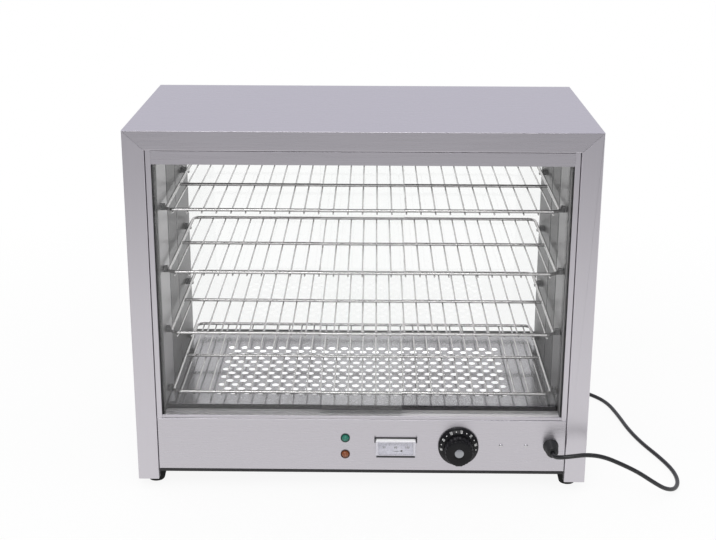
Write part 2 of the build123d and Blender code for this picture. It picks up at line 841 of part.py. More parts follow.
# Thermostat bulb: sensing tube over the floor of the pan, joined to the body by a capillary.
capillary_start_y = thermostat_y + thermostat_body_size[1]
capillary_rise_y = capillary_start_y + 10
bulb_y = well_front_y + bulb_behind_wall
bulb_end_x = capillary_x - 20
with BuildPart() as thermostat_bulb:
    with BuildLine() as capillary_path:
        FilletPolyline(
            (capillary_x, capillary_start_y, knob_z + 10),
            (capillary_x, capillary_rise_y, knob_z + 10),
            (capillary_x, capillary_rise_y, bulb_z),
            (capillary_x, bulb_y, bulb_z),
            (bulb_end_x, bulb_y, bulb_z),
            radius=5,
        )
    with BuildSketch(upright(capillary_start_y)):
        with Locations((capillary_x, knob_z + 10)):
            RegularPolygon(capillary_diameter / 2, 6)
    sweep(path=capillary_path.wire())
    with BuildSketch(Plane.YZ.offset(bulb_end_x - bulb_length)):
        with Locations((bulb_y, bulb_z)):
            RegularPolygon(bulb_diameter / 2, bulb_sides)
    extrude(amount=bulb_length)
save(thermostat_bulb, "thermostat_bulb")

# Bulb clips: two small plates that stand on the floor of the pan.
with BuildPart() as bulb_clips:
    for clip_x in (bulb_end_x - 10, bulb_end_x - bulb_length + 10):
        with BuildSketch(Plane.YZ.offset(clip_x)):
            with Locations((bulb_y, pan_z + sheet + bulb_lift)):
                Rectangle(bulb_clip_width, 2 * bulb_lift)
                RegularPolygon(bulb_diameter / 2 + fit_gap, bulb_sides, mode=Mode.SUBTRACT)
        extrude(amount=clip_thickness)
save(bulb_clips, "bulb_clips")

# Thermostat shaft: passes through the panel, with a flat on its end for the knob.
knob_front_y = panel_y - knob_length
knob_back_y = panel_y - knob_gap
shaft_front_y = knob_front_y + 8
with BuildPart() as thermostat_shaft:
    with BuildSketch(upright(shaft_front_y)):
        with Locations((knob_x, knob_z)):
            Circle(shaft_diameter / 2)
    extrude(amount=-(thermostat_y + bush_length - 0.5 - shaft_front_y))
    with BuildSketch(upright(shaft_front_y)):
        with Locations((knob_x, knob_z + shaft_diameter / 2 - 0.75)):
            Rectangle(shaft_diameter, 1.5)
    extrude(amount=-10, mode=Mode.SUBTRACT)
save(thermostat_shaft, "thermostat_shaft")

# Dial knob: skirt for the scale, a grip with a pointer at its foot, and a bore with a flat for the shaft.
skirt_rim = 4.0
knob_sides = 36
skirt_front_y = knob_back_y - 9.0
grip_front_y = knob_front_y + 0.5
pointer_reach = 22.0
pointer_half = 6.5
with BuildPart() as dial_knob:
    with BuildSketch(upright(knob_back_y)):
        with Locations((knob_x, knob_z)):
            RegularPolygon(knob_skirt_diameter / 2, knob_sides)
    extrude(amount=skirt_rim)
    with BuildSketch(upright(knob_back_y - skirt_rim)):
        with Locations((knob_x, knob_z)):
            RegularPolygon(knob_skirt_diameter / 2, knob_sides)
    with BuildSketch(upright(skirt_front_y)):
        with Locations((knob_x, knob_z)):
            RegularPolygon(knob_grip_diameter / 2 + 2, knob_sides)
    loft()
    with BuildSketch(upright(skirt_front_y)):
        with Locations((knob_x, knob_z)):
            RegularPolygon(knob_grip_diameter / 2, knob_sides)
    extrude(amount=skirt_front_y - grip_front_y, taper=4)
    with BuildSketch(upright(knob_back_y - 2)):
        with BuildLine():
            Polyline(
                (knob_x - pointer_half, knob_z),
                (knob_x - pointer_half, knob_z - pointer_reach),
                (knob_x + pointer_half, knob_z - pointer_reach),
                (knob_x + pointer_half, knob_z),
                close=True,
            )
        make_face()
    extrude(amount=knob_back_y - 2 - knob_front_y, taper=4)
    with BuildSketch(upright(knob_back_y)):
        with Locations((knob_x, knob_z)):
            RegularPolygon(knob_skirt_diameter / 2 - 3, knob_sides)
            RegularPolygon(shaft_diameter / 2 + 4, knob_sides // 2, mode=Mode.SUBTRACT)
    extrude(amount=3, mode=Mode.SUBTRACT)
    with BuildSketch(upright(knob_back_y)):
        with Locations((knob_x, knob_z)):
            Circle(shaft_diameter / 2 + shaft_clearance)
    extrude(amount=knob_back_y - shaft_front_y + fit_gap, mode=Mode.SUBTRACT)
    with BuildSketch(upright(knob_front_y)):
        with Locations((knob_x, knob_z)):
            Circle(knob_cap_diameter / 2)
    extrude(amount=-1.0, mode=Mode.SUBTRACT)
save(dial_knob, "dial_knob")

with BuildPart() as knob_cap:
    with BuildSketch(upright(knob_front_y)):
        with Locations((knob_x, knob_z)):
            Circle(knob_cap_diameter / 2 - 0.05)
    extrude(amount=-1.0)
save(knob_cap, "knob_cap")

# Pilot lamps: a domed lens whose body passes through the panel and is held by a spring nut.
lamp_sides = 20
dome_steps = (
    (lamp_rim, lamp_diameter / 2),
    (0.75 * lamp_projection, 0.36 * lamp_diameter),
    (lamp_projection, 0.15 * lamp_diameter),
)
for name, height in (("green_lamp", green_z), ("amber_lamp", amber_z)):
    with BuildPart() as lamp:
        with BuildSketch(upright(panel_y)):
            with Locations((lamp_x, height)):
                RegularPolygon(lamp_diameter / 2, lamp_sides)
        extrude(amount=lamp_rim)
        for (low, low_radius), (high, high_radius) in zip(dome_steps, dome_steps[1:]):
            with BuildSketch(upright(panel_y - low)):
                with Locations((lamp_x, height)):
                    RegularPolygon(low_radius, lamp_sides)
            with BuildSketch(upright(panel_y - high)):
                with Locations((lamp_x, height)):
                    RegularPolygon(high_radius, lamp_sides)
            loft()
        with BuildSketch(upright(panel_y)):
            with Locations((lamp_x, height)):
                RegularPolygon(lamp_body_diameter / 2, lamp_sides)
        extrude(amount=-lamp_body_length)
    save(lamp, name)

with BuildPart() as lamp_nuts:
    with BuildSketch(upright(panel_y + sheet)):
        for height in (green_z, amber_z):
            with Locations((lamp_x, height)):
                RectangleRounded(lamp_diameter + 4, lamp_diameter + 4, 3)
                Circle(lamp_body_diameter / 2 + 0.1, mode=Mode.SUBTRACT)
    extrude(amount=-3)
save(lamp_nuts, "lamp_nuts")

# Thermometer: a shallow moulded case with a bezel, a face inside it and a clear window over the face.
bezel_wide = thermometer_width - 2 * thermometer_bezel
bezel_tall = thermometer_tall - 2 * thermometer_bezel
thermometer_front_y = panel_y - thermometer_projection
with BuildPart() as thermometer_case:
    with BuildSketch(upright(panel_y)):
        with Locations((thermometer_x, thermometer_z)):
            RectangleRounded(thermometer_width, thermometer_tall, 2)
    extrude(amount=thermometer_projection)
    with BuildSketch(upright(panel_y)):
        with Locations((thermometer_x, thermometer_z)):
            Rectangle(bezel_wide, bezel_tall)
    extrude(amount=-thermometer_body_depth)
    with BuildSketch(upright(thermometer_front_y)):
        with Locations((thermometer_x, thermometer_z)):
            Rectangle(bezel_wide - 2, bezel_tall - 2)
    extrude(amount=-3.0, mode=Mode.SUBTRACT)
save(thermometer_case, "thermometer_case")

with BuildPart() as thermometer_face:
    with BuildSketch(upright(thermometer_front_y + 2.0)):
        with Locations((thermometer_x, thermometer_z)):
            Rectangle(bezel_wide - 2.1, bezel_tall - 2.1)
    extrude(amount=-1.0)
save(thermometer_face, "thermometer_face")

with BuildPart() as thermometer_window:
    with BuildSketch(upright(thermometer_front_y + 0.5)):
        with Locations((thermometer_x, thermometer_z)):
            Rectangle(bezel_wide - 2.1, bezel_tall - 2.1)
    extrude(amount=-1.5)
save(thermometer_window, "thermometer_window")

# Terminal block behind the panel, held by the two screws that show on the face.
screw_xs = (screw_left_x, screw_left_x + screw_spacing)
block_depth = 18.0
block_y = panel_y + sheet
with BuildPart() as terminal_block:
    with BuildSketch(upright(block_y)):
        with Locations(((screw_xs[0] + screw_xs[1]) / 2, screw_z)):
            Rectangle(screw_spacing + 14, 22)
        with Locations([(screw_x, screw_z) for screw_x in screw_xs]):
            Circle(screw_diameter / 2 + fit_gap / 2, mode=Mode.SUBTRACT)
    extrude(amount=-block_depth)
    with BuildSketch(upright(block_y + block_depth)):
        with Locations(((screw_xs[0] + screw_xs[1]) / 2, screw_z)):
            with GridLocations(9, 1, 3, 1):
                Rectangle(6, 14)
    extrude(amount=-5)
save(terminal_block, "terminal_block")

with BuildPart() as panel_screws:
    for screw_x in screw_xs:
        with BuildSketch(upright(panel_y)):
            with Locations((screw_x, screw_z)):
                Circle(screw_head_diameter / 2)
        extrude(amount=screw_head_height, taper=25)
        with BuildSketch(upright(panel_y)):
            with Locations((screw_x, screw_z)):
                RegularPolygon(screw_diameter / 2, 8)
        extrude(amount=-block_depth)
save(panel_screws, "panel_screws")

# Cord gland: tapered nose that grips the lead, threaded through the panel into its nut.
gland_mouth_y = panel_y - gland_length
gland_flange = 3.0
thread_length = 9.0
gland_sides = 20
nose_steps = (
    (gland_flange, gland_diameter / 2),
    (gland_length - 5, gland_diameter / 2 - 1.5),
    (gland_length, gland_mouth_diameter / 2),
)
with BuildPart() as cord_gland:
    with BuildSketch(upright(panel_y + thread_length)):
        with Locations((gland_x, gland_z)):
            RegularPolygon(gland_thread_diameter / 2, gland_sides)
    extrude(amount=thread_length)
    with BuildSketch(upright(panel_y)):
        with Locations((gland_x, gland_z)):
            RegularPolygon(gland_diameter / 2 + 1, gland_sides)
    extrude(amount=gland_flange)
    for (near, near_radius), (far, far_radius) in zip(nose_steps, nose_steps[1:]):
        with BuildSketch(upright(panel_y - near)):
            with Locations((gland_x, gland_z)):
                RegularPolygon(near_radius, gland_sides)
        with BuildSketch(upright(panel_y - far)):
            with Locations((gland_x, gland_z)):
                RegularPolygon(far_radius, gland_sides)
        loft()
save(cord_gland, "cord_gland")

with BuildPart() as gland_nut:
    with BuildSketch(upright(panel_y + sheet)):
        with Locations((gland_x, gland_z)):
            RegularPolygon(gland_diameter / 2 + 1, 6)
            Circle(gland_thread_diameter / 2 + 0.1, mode=Mode.SUBTRACT)
    extrude(amount=-4)
save(gland_nut, "gland_nut")

# Mains lead: the free stretch from the gland down to the floor and round behind the case.
floor_z = cord_diameter / 2 + floor_gap
coil_outer_radius = coil_middle_radius + coil_turn_pitch * coil_layer_turns / 2
coil_start_y = coil_y - coil_outer_radius
coil_lead_in = 16.0
cord_route = [
    (gland_x, gland_mouth_y, gland_z),
    (gland_x, gland_mouth_y - 12, gland_z),
    (293, -214, 77),
    (310, -216, 80),
    (331, -214, 82),
    (356, -211, 77.5),
    (384, -209, 64.5),
    (410, -206, 50),
    (434, -200, 31.5),
    (456, -190, 14.5),
    (475, -171, 5),
    (486, -142, floor_z),
    (486, -104, floor_z),
    (474, -58, floor_z),
    (456, -8, floor_z),
    (443, 46, floor_z),
    (436, 104, floor_z),
    (426, 158, floor_z),
    (404, 192, floor_z),
    (370, 219, floor_z),
    (318, coil_start_y, floor_z),
    (coil_x + coil_lead_in, coil_start_y, floor_z),
]


def corner_radii(route):
    """Arc at each corner of a route: 0.45 of the shorter run over the tangent of half the turn."""
    radii = []
    for before, here, after in zip(route, route[1:], route[2:]):
        run_in = Vector(*here) - Vector(*before)
        run_out = Vector(*after) - Vector(*here)
        half_turn = math.radians(run_in.get_angle(run_out)) / 2
        radii.append(0.45 * min(run_in.length, run_out.length) / math.tan(half_turn))
    return radii


cord_radii = corner_radii(cord_route)
print("cord radii", [round(radius, 1) for radius in cord_radii])
with BuildPart() as power_cord:
    with BuildLine() as cord_path:
        FilletPolyline(*cord_route, radius=cord_radii)
    cord_line = cord_path.wire()
    with BuildSketch(Plane(origin=cord_line @ 0, z_dir=cord_line % 0)):
        RegularPolygon(cord_diameter / 2, cord_sides)
    sweep(path=cord_line)
save(power_cord, "power_cord")
section_area = cord_sides * (cord_diameter / 2) ** 2 * math.sin(2 * math.pi / cord_sides) / 2
cord_ratio = power_cord.part.volume / section_area / cord_line.length
print("cord length", round(cord_line.length, 1), "volume ratio", cord_ratio)

# Coil: the unseen length, wound in towards the middle on the floor and out again in a second layer.
coil_turns = 2 * coil_layer_turns


def coil_point(turns):
    """Centre of the lead after so many turns: in, a climb of one layer about the middle, and out."""
    way = min(turns, coil_turns - turns)
    radius = coil_outer_radius - coil_turn_pitch * way
    climb = min(max((turns - coil_layer_turns + 0.25) / 0.5, 0), 1)
    height = floor_z + coil_turn_pitch * climb * climb * (3 - 2 * climb)
    angle = -math.pi / 2 - 2 * math.pi * turns
    return Vector(coil_x + radius * math.cos(angle), coil_y + radius * math.sin(angle), height)


def coil_way(turns):
    """Direction of the lead after so many turns."""
    if min(turns, coil_turns - turns, abs(turns - coil_layer_turns)) < 0.01:
        angle = -math.pi / 2 - 2 * math.pi * turns
        rise = coil_turn_pitch * 3 if abs(turns - coil_layer_turns) < 0.01 else 0
        run = 2 * math.pi * (coil_outer_radius - coil_turn_pitch * min(turns, coil_turns - turns))
        return Vector(math.sin(angle) * run, -math.cos(angle) * run, rise).normalized()
    step = 0.001
    return (coil_point(turns + step) - coil_point(turns - step)).normalized()


def biarc_joint(start, start_way, end, end_way):
    """Point where two tangent arcs between two points meet, and the direction there."""
    across = end - start
    ways = start_way + end_way
    spread = 2 * (1 - start_way.dot(end_way))
    reach = (-across.dot(ways) + math.sqrt(across.dot(ways) ** 2 + spread * across.dot(across))) / spread
    near = start + start_way * reach
    far = end - end_way * reach
    return (near + far) * 0.5, (far - near).normalized()


coil_steps = int(coil_turns * 4)
with BuildPart() as cord_coil:
    with BuildLine() as coil_path:
        Line((coil_x + coil_lead_in, coil_start_y, floor_z), coil_point(0))
        for step in range(coil_steps):
            start, end = coil_point(step / 4), coil_point((step + 1) / 4)
            start_way, end_way = coil_way(step / 4), coil_way((step + 1) / 4)
            joint, joint_way = biarc_joint(start, start_way, end, end_way)
            TangentArc(start, joint, tangent=start_way)
            TangentArc(joint, end, tangent=joint_way)
        coil_end = coil_point(coil_turns)
        Line(coil_end, coil_end + Vector(coil_tail, 0, 0))
    coil_line = coil_path.wire()
    with BuildSketch(Plane(origin=coil_line @ 0, z_dir=coil_line % 0)):
        RegularPolygon(cord_diameter / 2, cord_sides)
    sweep(path=coil_line)
save(cord_coil, "cord_coil")
coil_ratio = cord_coil.part.volume / section_area / coil_line.length
print("coil length", round(coil_line.length, 1), "volume ratio", coil_ratio)
print("lead length", round(cord_line.length + coil_line.length, 1))
samples = [coil_line @ (index / 900) for index in range(901)]
gaps = [
    (samples[index] - samples[other]).length
    for index in range(901)
    for other in range(index + 12, 901)
]
print("coil least gap", round(min(gaps) - cord_diameter, 2))

# Plug: moulded body with a ribbed collar for the lead and three pins.
plug_x = coil_x + coil_tail
plug_y = coil_end.Y
plug_z = coil_end.Z
plug_collar = 20.0
plug_length = 42.0
plug_wide = 25.0
with BuildPart() as power_plug:
    with BuildSketch(Plane.YZ.offset(plug_x)):
        with Locations((plug_y, plug_z)):
            Circle(cord_diameter / 2 + 1)
    with BuildSketch(Plane.YZ.offset(plug_x + plug_collar)):
        with Locations((plug_y, plug_z)):
            Circle(cord_diameter / 2 + 3.5)
    loft()
    with BuildSketch(Plane.YZ.offset(plug_x + plug_collar)):
        with Locations((plug_y, plug_z)):
            RectangleRounded(plug_wide - 4, 2 * plug_z - 3, 5)
    with BuildSketch(Plane.YZ.offset(plug_x + plug_collar + 12)):
        with Locations((plug_y, plug_z)):
            RectangleRounded(plug_wide, 2 * plug_z - 0.5, 5)
    loft()
    with BuildSketch(Plane.YZ.offset(plug_x + plug_collar + 12)):
        with Locations((plug_y, plug_z)):
            RectangleRounded(plug_wide, 2 * plug_z - 0.5, 5)
    extrude(amount=plug_length - 12)
save(power_plug, "power_plug")

pin_x = plug_x + plug_collar + plug_length
with BuildPart() as plug_pins:
    with BuildSketch(Plane.YZ.offset(pin_x)):
        with Locations((plug_y - 6.35, plug_z + 3), (plug_y + 6.35, plug_z + 3)):
            Rectangle(1.5, 6.3)
    extrude(amount=17)
    with BuildSketch(Plane.YZ.offset(pin_x)):
        with Locations((plug_y, plug_z - 5)):
            Circle(2.4)
    extrude(amount=20)
save(plug_pins, "plug_pins")
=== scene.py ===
import math

import bmesh
import bpy
from mathutils import Matrix, Vector


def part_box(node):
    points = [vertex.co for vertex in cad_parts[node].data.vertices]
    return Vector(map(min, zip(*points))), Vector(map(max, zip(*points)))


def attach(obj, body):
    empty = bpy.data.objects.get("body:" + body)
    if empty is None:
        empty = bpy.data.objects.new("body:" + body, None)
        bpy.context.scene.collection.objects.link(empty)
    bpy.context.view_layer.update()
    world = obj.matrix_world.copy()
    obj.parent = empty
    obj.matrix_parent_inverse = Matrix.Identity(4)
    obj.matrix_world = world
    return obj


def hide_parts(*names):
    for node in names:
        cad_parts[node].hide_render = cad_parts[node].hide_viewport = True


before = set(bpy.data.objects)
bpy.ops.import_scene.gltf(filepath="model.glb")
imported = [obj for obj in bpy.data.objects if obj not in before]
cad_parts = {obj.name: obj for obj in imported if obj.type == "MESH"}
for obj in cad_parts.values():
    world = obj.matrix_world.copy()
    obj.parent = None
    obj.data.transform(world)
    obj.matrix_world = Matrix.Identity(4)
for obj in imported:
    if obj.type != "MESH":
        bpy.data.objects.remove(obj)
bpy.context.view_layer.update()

scene = bpy.context.scene
scene.view_settings.view_transform = "Standard"


# Camera: a long lens two metres in front of the case, a little to its right and above it, looking down
# at it.
def new_object(name, data):
    """An object with its data, put in the scene."""
    made = bpy.data.objects.new(name, data)
    scene.collection.objects.link(made)
    return made


camera_data = bpy.data.cameras.new("camera")
camera_data.sensor_width = 36.0
camera_data.lens = 67.035
camera_data.clip_start = 0.05
camera_data.clip_end = 60.0
camera = new_object("camera", camera_data)
camera_place = (0.01569, -1.99304, 0.93948)
camera_pitch = 0.312825
camera_yaw = -0.011773
camera_roll = 0.0029635
camera.matrix_world = (
    Matrix.Translation(camera_place)
    @ Matrix.Rotation(-camera_yaw, 4, "Z")
    @ Matrix.Rotation(math.pi / 2 - camera_pitch, 4, "X")
    @ Matrix.Rotation(camera_roll, 4, "Z")
)
scene.camera = camera


# Mains lead: black rubber flex that leaves the gland towards the operator, drops to the counter at the
# right of the case and runs round behind it, where the spare length lies in a coil beside the plug.
def add_node(tree, kind, inputs=None, **settings):
    """A node with its settings, and its inputs as values or as sockets to link from."""
    made = tree.nodes.new(kind)
    for key, value in settings.items():
        setattr(made, key, value)
    for key, value in (inputs or {}).items():
        if isinstance(value, bpy.types.NodeSocket):
            tree.links.new(value, made.inputs[key])
        else:
            made.inputs[key].default_value = value
    return made


def tree_step(tree, kind, inputs, **settings):
    """First output of a node."""
    return add_node(tree, kind, inputs, **settings).outputs[0]


def tree_math(tree, operation, first, second):
    """Result of one sum on two values or sockets."""
    return tree_step(tree, "ShaderNodeMath", {0: first, 1: second}, operation=operation)


def times(tree, first, second):
    """Product of two values or sockets."""
    return tree_math(tree, "MULTIPLY", first, second)


def minus(tree, first, second):
    """One value or socket less another."""
    return tree_math(tree, "SUBTRACT", first, second)


def ramp(tree, value, low, high, at_low, at_high):
    """A value carried from one range to another and held at its ends."""
    limits = {"From Min": low, "From Max": high, "To Min": at_low, "To Max": at_high}
    return tree_step(tree, "ShaderNodeMapRange", {"Value": value, **limits})


def shader_of(finish):
    """The shader of a material."""
    return finish.node_tree.nodes["Principled BSDF"]


def new_finish(name, colour, roughness, metallic=0.0):
    """A material, its tree and its shader, with its colour, roughness and metal set."""
    finish = bpy.data.materials.new(name)
    finish.use_nodes = True
    shader = shader_of(finish)
    shader.inputs["Base Color"].default_value = (*colour, 1.0)
    shader.inputs["Roughness"].default_value = roughness
    shader.inputs["Metallic"].default_value = metallic
    return finish, finish.node_tree, shader


def add_grain(tree, shader, stretch, shades, roughnesses, depth):
    """Noise over the piece, stretched as given, that varies colour, roughness and relief."""
    grain_low, grain_high = 0.3, 0.7
    cloud_scale, cloud_strength = 7.0, 0.02
    place = add_node(tree, "ShaderNodeTexCoord").outputs["Object"]
    mapped = tree_step(tree, "ShaderNodeMapping", {"Vector": place, "Scale": stretch})
    grain = tree_step(tree, "ShaderNodeTexNoise", {"Vector": mapped, "Scale": 1.0, "Detail": 3.0})
    colours = add_node(tree, "ShaderNodeValToRGB", {"Fac": grain})
    for stop, position, shade in zip(colours.color_ramp.elements, (grain_low, grain_high), shades):
        stop.position = position
        stop.color = (*shade, 1.0)
    tree.links.new(colours.outputs["Color"], shader.inputs["Base Color"])
    spread = ramp(tree, grain, grain_low, grain_high, *roughnesses)
    cloud = tree_step(tree, "ShaderNodeTexNoise", {"Vector": place, "Scale": cloud_scale, "Detail": 2.0})
    rough = tree_math(tree, "ADD", spread, times(tree, cloud, cloud_strength))
    tree.links.new(rough, shader.inputs["Roughness"])
    relief = tree_step(tree, "ShaderNodeBump", {"Height": grain, "Strength": 1.0, "Distance": depth})
    tree.links.new(relief, shader.inputs["Normal"])


def plain_plastic(name, colour, roughness, grain=900.0, depth=0.00002):
    """Moulded plastic or rubber with a fine even grain."""
    finish, tree, shader = new_finish(name, colour, roughness)
    paler = [min(1.0, channel * 1.15 + 0.003) for channel in colour]
    darker = [channel * 0.9 for channel in colour]
    add_grain(tree, shader, (grain,) * 3, (darker, paler), (roughness - 0.06, roughness + 0.04), depth)
    return finish


def dress(piece, finish, slot, *nodes, body="case"):
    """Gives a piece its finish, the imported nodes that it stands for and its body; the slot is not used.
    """
    piece.data.materials.clear()
    piece.data.materials.append(finish)
    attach(piece, body)
    if nodes:
        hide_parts(*nodes)


lead_radius = 0.00325
lead_floor = lead_radius + 0.00025
gland_x = 0.284
gland_z = 0.0735
gland_mouth = (gland_x, -0.193, gland_z)
coil_x = 0.250
coil_y = 0.275
coil_pitch = 0.0072
coil_outer = 0.0441
coil_layer_turns = 2.25
coil_climb_turns = 0.5
coil_points_each_turn = 16
coil_start_y = coil_y - coil_outer
coil_lead_in = 0.016
coil_lead_out = (0.012, 0.027)
lead_route = [
    gland_mouth,
    (gland_x, -0.205, gland_z),
    (0.293, -0.214, 0.077),
    (0.310, -0.216, 0.080),
    (0.331, -0.214, 0.082),
    (0.356, -0.211, 0.0775),
    (0.384, -0.209, 0.0645),
    (0.410, -0.206, 0.050),
    (0.434, -0.200, 0.0315),
    (0.456, -0.190, 0.0145),
    (0.475, -0.171, 0.005),
    (0.486, -0.142, lead_floor),
    (0.486, -0.104, lead_floor),
    (0.474, -0.058, lead_floor),
    (0.456, -0.008, lead_floor),
    (0.443, 0.046, lead_floor),
    (0.436, 0.104, lead_floor),
    (0.426, 0.158, lead_floor),
    (0.404, 0.192, lead_floor),
    (0.370, 0.219, lead_floor),
    (0.318, coil_start_y, lead_floor),
    (coil_x + coil_lead_in, coil_start_y, lead_floor),
]


def coil_point(turns):
    """Centre of the lead after so many turns: in towards the middle, up one layer, and out again."""
    way = min(turns, 2 * coil_layer_turns - turns)
    radius = coil_outer - coil_pitch * way
    climb = min(max((turns - coil_layer_turns) / coil_climb_turns + 0.5, 0), 1)
    height = lead_floor + coil_pitch * climb * climb * (3 - 2 * climb)
    angle = -math.pi / 2 - 2 * math.pi * turns
    return (coil_x + radius * math.cos(angle), coil_y + radius * math.sin(angle), height)


coil_steps = int(2 * coil_layer_turns * coil_points_each_turn)
lead_route += [coil_point(step / coil_points_each_turn) for step in range(coil_steps + 1)]
coil_end = coil_point(2 * coil_layer_turns)
lead_route += [(coil_end[0] + reach, coil_end[1], coil_end[2]) for reach in coil_lead_out]
lead_curve = bpy.data.curves.new("mains_lead", "CURVE")
lead_curve.dimensions = "3D"
lead_spline = lead_curve.splines.new("NURBS")
lead_spline.points.add(len(lead_route) - 1)
for point, place in zip(lead_spline.points, lead_route):
    point.co = (*place, 1.0)
lead_spline.order_u = 3
lead_spline.use_endpoint_u = True
lead_spline.resolution_u = 8
lead_curve.bevel_depth = lead_radius
lead_curve.bevel_resolution = 5
lead_curve.use_fill_caps = True
mains_lead = new_object("mains_lead", lead_curve)
lead_rubber = plain_plastic("lead_rubber", (0.008, 0.008, 0.009), 0.34)
dress(mains_lead, lead_rubber, "cord_rubber", "power_cord", "cord_coil")


# Plug: one-piece rubber moulding on the end of the lead, with a tapered collar that eases the bend where
# the lead comes in, and three bright brass pins.
def dressed_copy(node_name, name, finish, slot, ease=0.0002, body="case", angle=35.0, fold=0.0):
    """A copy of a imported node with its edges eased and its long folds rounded, which stands for it."""
    merge_reach = 0.000002
    fold_length = 0.05
    fold_width = 0.003
    shape = bmesh.new()
    shape.from_mesh(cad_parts[node_name].data)
    bmesh.ops.remove_doubles(shape, verts=shape.verts, dist=merge_reach)
    bmesh.ops.dissolve_limit(shape, angle_limit=math.radians(1), verts=shape.verts, edges=shape.edges)
    folds = []
    for edge in shape.edges:
        widths = [face.calc_area() / edge.calc_length() for face in edge.link_faces]
        if fold and edge.is_convex and edge.calc_length() > fold_length and min(widths) > fold_width:
            folds.append(edge)
    if folds:
        bmesh.ops.bevel(shape, geom=folds, offset=fold, segments=5, profile=0.5, affect="EDGES")
    mesh = bpy.data.meshes.new(name)
    shape.to_mesh(mesh)
    shape.free()
    if "custom_normal" in mesh.attributes:
        mesh.attributes.remove(mesh.attributes["custom_normal"])
    mesh.shade_smooth()
    piece = new_object(name, mesh)
    bevel = piece.modifiers.new("eased edges", "BEVEL")
    bevel.width = ease
    bevel.segments = 2
    bevel.limit_method = "ANGLE"
    bevel.angle_limit = math.radians(angle)
    flats = piece.modifiers.new("flat faces kept flat", "WEIGHTED_NORMAL")
    flats.weight = 80
    flats.keep_sharp = False
    dress(piece, finish, slot, node_name, body=body)
    return piece


def tree_place(tree, x=0.0, y=0.0, z=0.0):
    """A place made of three values or sockets."""
    return tree_step(tree, "ShaderNodeCombineXYZ", {"X": x, "Y": y, "Z": z})


def brushed_metal(name, colour, stretch, roughness, across=(0, 1, 1), blur=0.5):
    """Metal with fine brush marks along one direction, whose shine spreads across them."""
    contrast = 0.011
    roughness_spread = 0.015
    mark_depth = 0.0000009
    finish, tree, shader = new_finish(name, colour, roughness, 1.0)
    darker = [channel * (1 - contrast) for channel in colour]
    paler = [min(1.0, channel * (1 + contrast)) for channel in colour]
    roughnesses = (roughness - roughness_spread, roughness + roughness_spread)
    add_grain(tree, shader, stretch, (darker, paler), roughnesses, mark_depth)
    shader.inputs["Anisotropic"].default_value = blur
    tree.links.new(tree_place(tree, *across), shader.inputs["Tangent"])
    return finish


across_upright = (1, 1, 0)
across_turned = (1, 0, 1)
plug = dressed_copy("power_plug", "moulded_plug", lead_rubber, "cord_rubber", ease=0.0012, angle=20.0)
pin_brass = brushed_metal("pin_brass", (0.78, 0.60, 0.30), (40.0, 900.0, 900.0), 0.22)
pins = dressed_copy("plug_pins", "bright_pins", pin_brass, "pin_brass", ease=0.0004)


# Studio: a white floor sheet that ends some way in front of the case, and white light from all round.
# The floor under the case and the far end of the sheet are darker where the steel mirrors them.
floor_radius = 4.0
sheet_end_y = (-1.90, -1.22)
sheet_end_shades = (0.40, 0.95)
case_side_x = (0.30, 0.40)
case_front_y = (-0.17, -0.13)
under_case_shade = 0.12
glow_reach = (0.75, 1.5)
glow_shares = (0.90, 1.0)
floor_mesh = bpy.data.meshes.new("floor")
floor_shape = bmesh.new()
bmesh.ops.create_circle(floor_shape, cap_ends=True, segments=96, radius=floor_radius)
floor_shape.to_mesh(floor_mesh)
floor_shape.free()
floor = new_object("floor", floor_mesh)
floor_paint = bpy.data.materials.new("floor_paint")
floor_paint.use_nodes = True
floor_tree = floor_paint.node_tree
floor_tree.nodes.clear()


def blend_value(tree, factor, first, second):
    """Mix of two values."""
    return tree_step(tree, "ShaderNodeMix", {"Factor": factor, "A": first, "B": second}, data_type="FLOAT")


def sort_rays(tree):
    """One or nought for rays seen directly or through glass, mirrored rays, and all glossy rays."""
    ray = add_node(tree, "ShaderNodeLightPath").outputs
    direct = tree_math(tree, "MAXIMUM", ray["Is Camera Ray"], ray["Is Transmission Ray"])
    mirrored = minus(tree, ray["Is Glossy Ray"], ray["Is Transmission Ray"])
    return direct, mirrored, ray["Is Glossy Ray"]


floor_direct, floor_mirrored, floor_glossy = sort_rays(floor_tree)
floor_seen = tree_math(floor_tree, "MAXIMUM", floor_direct, floor_glossy)
floor_place = add_node(floor_tree, "ShaderNodeTexCoord").outputs["Object"]
floor_split = add_node(floor_tree, "ShaderNodeSeparateXYZ", {"Vector": floor_place}).outputs
floor_reach = add_node(floor_tree, "ShaderNodeVectorMath", {0: floor_place}, operation="LENGTH").outputs[1]
floor_side = tree_math(floor_tree, "ABSOLUTE", floor_split["X"], 0.0)
sheet_end = ramp(floor_tree, floor_split["Y"], *sheet_end_y, *sheet_end_shades)
beside_case = ramp(floor_tree, floor_side, *case_side_x, 0.0, 1.0)
before_case = ramp(floor_tree, floor_split["Y"], *case_front_y, 1.0, 0.0)
open_floor = tree_math(floor_tree, "MAXIMUM", beside_case, before_case)
case_shade = ramp(floor_tree, open_floor, 0.0, 1.0, under_case_shade, 1.0)
shaded_sheet = times(floor_tree, sheet_end, case_shade)
floor_shade = blend_value(floor_tree, floor_mirrored, 1.0, shaded_sheet)
floor_glow = tree_step(floor_tree, "ShaderNodeEmission", {"Strength": floor_shade})
floor_matt = tree_step(floor_tree, "ShaderNodeBsdfDiffuse", {"Color": (0.92, 0.92, 0.92, 1.0)})
glow_share = ramp(floor_tree, floor_reach, *glow_reach, *glow_shares)
glow_seen = times(floor_tree, floor_seen, glow_share)
floor_mix = tree_step(floor_tree, "ShaderNodeMixShader", {"Fac": glow_seen, 1: floor_matt, 2: floor_glow})
add_node(floor_tree, "ShaderNodeOutputMaterial", {"Surface": floor_mix})
floor_mesh.materials.append(floor_paint)

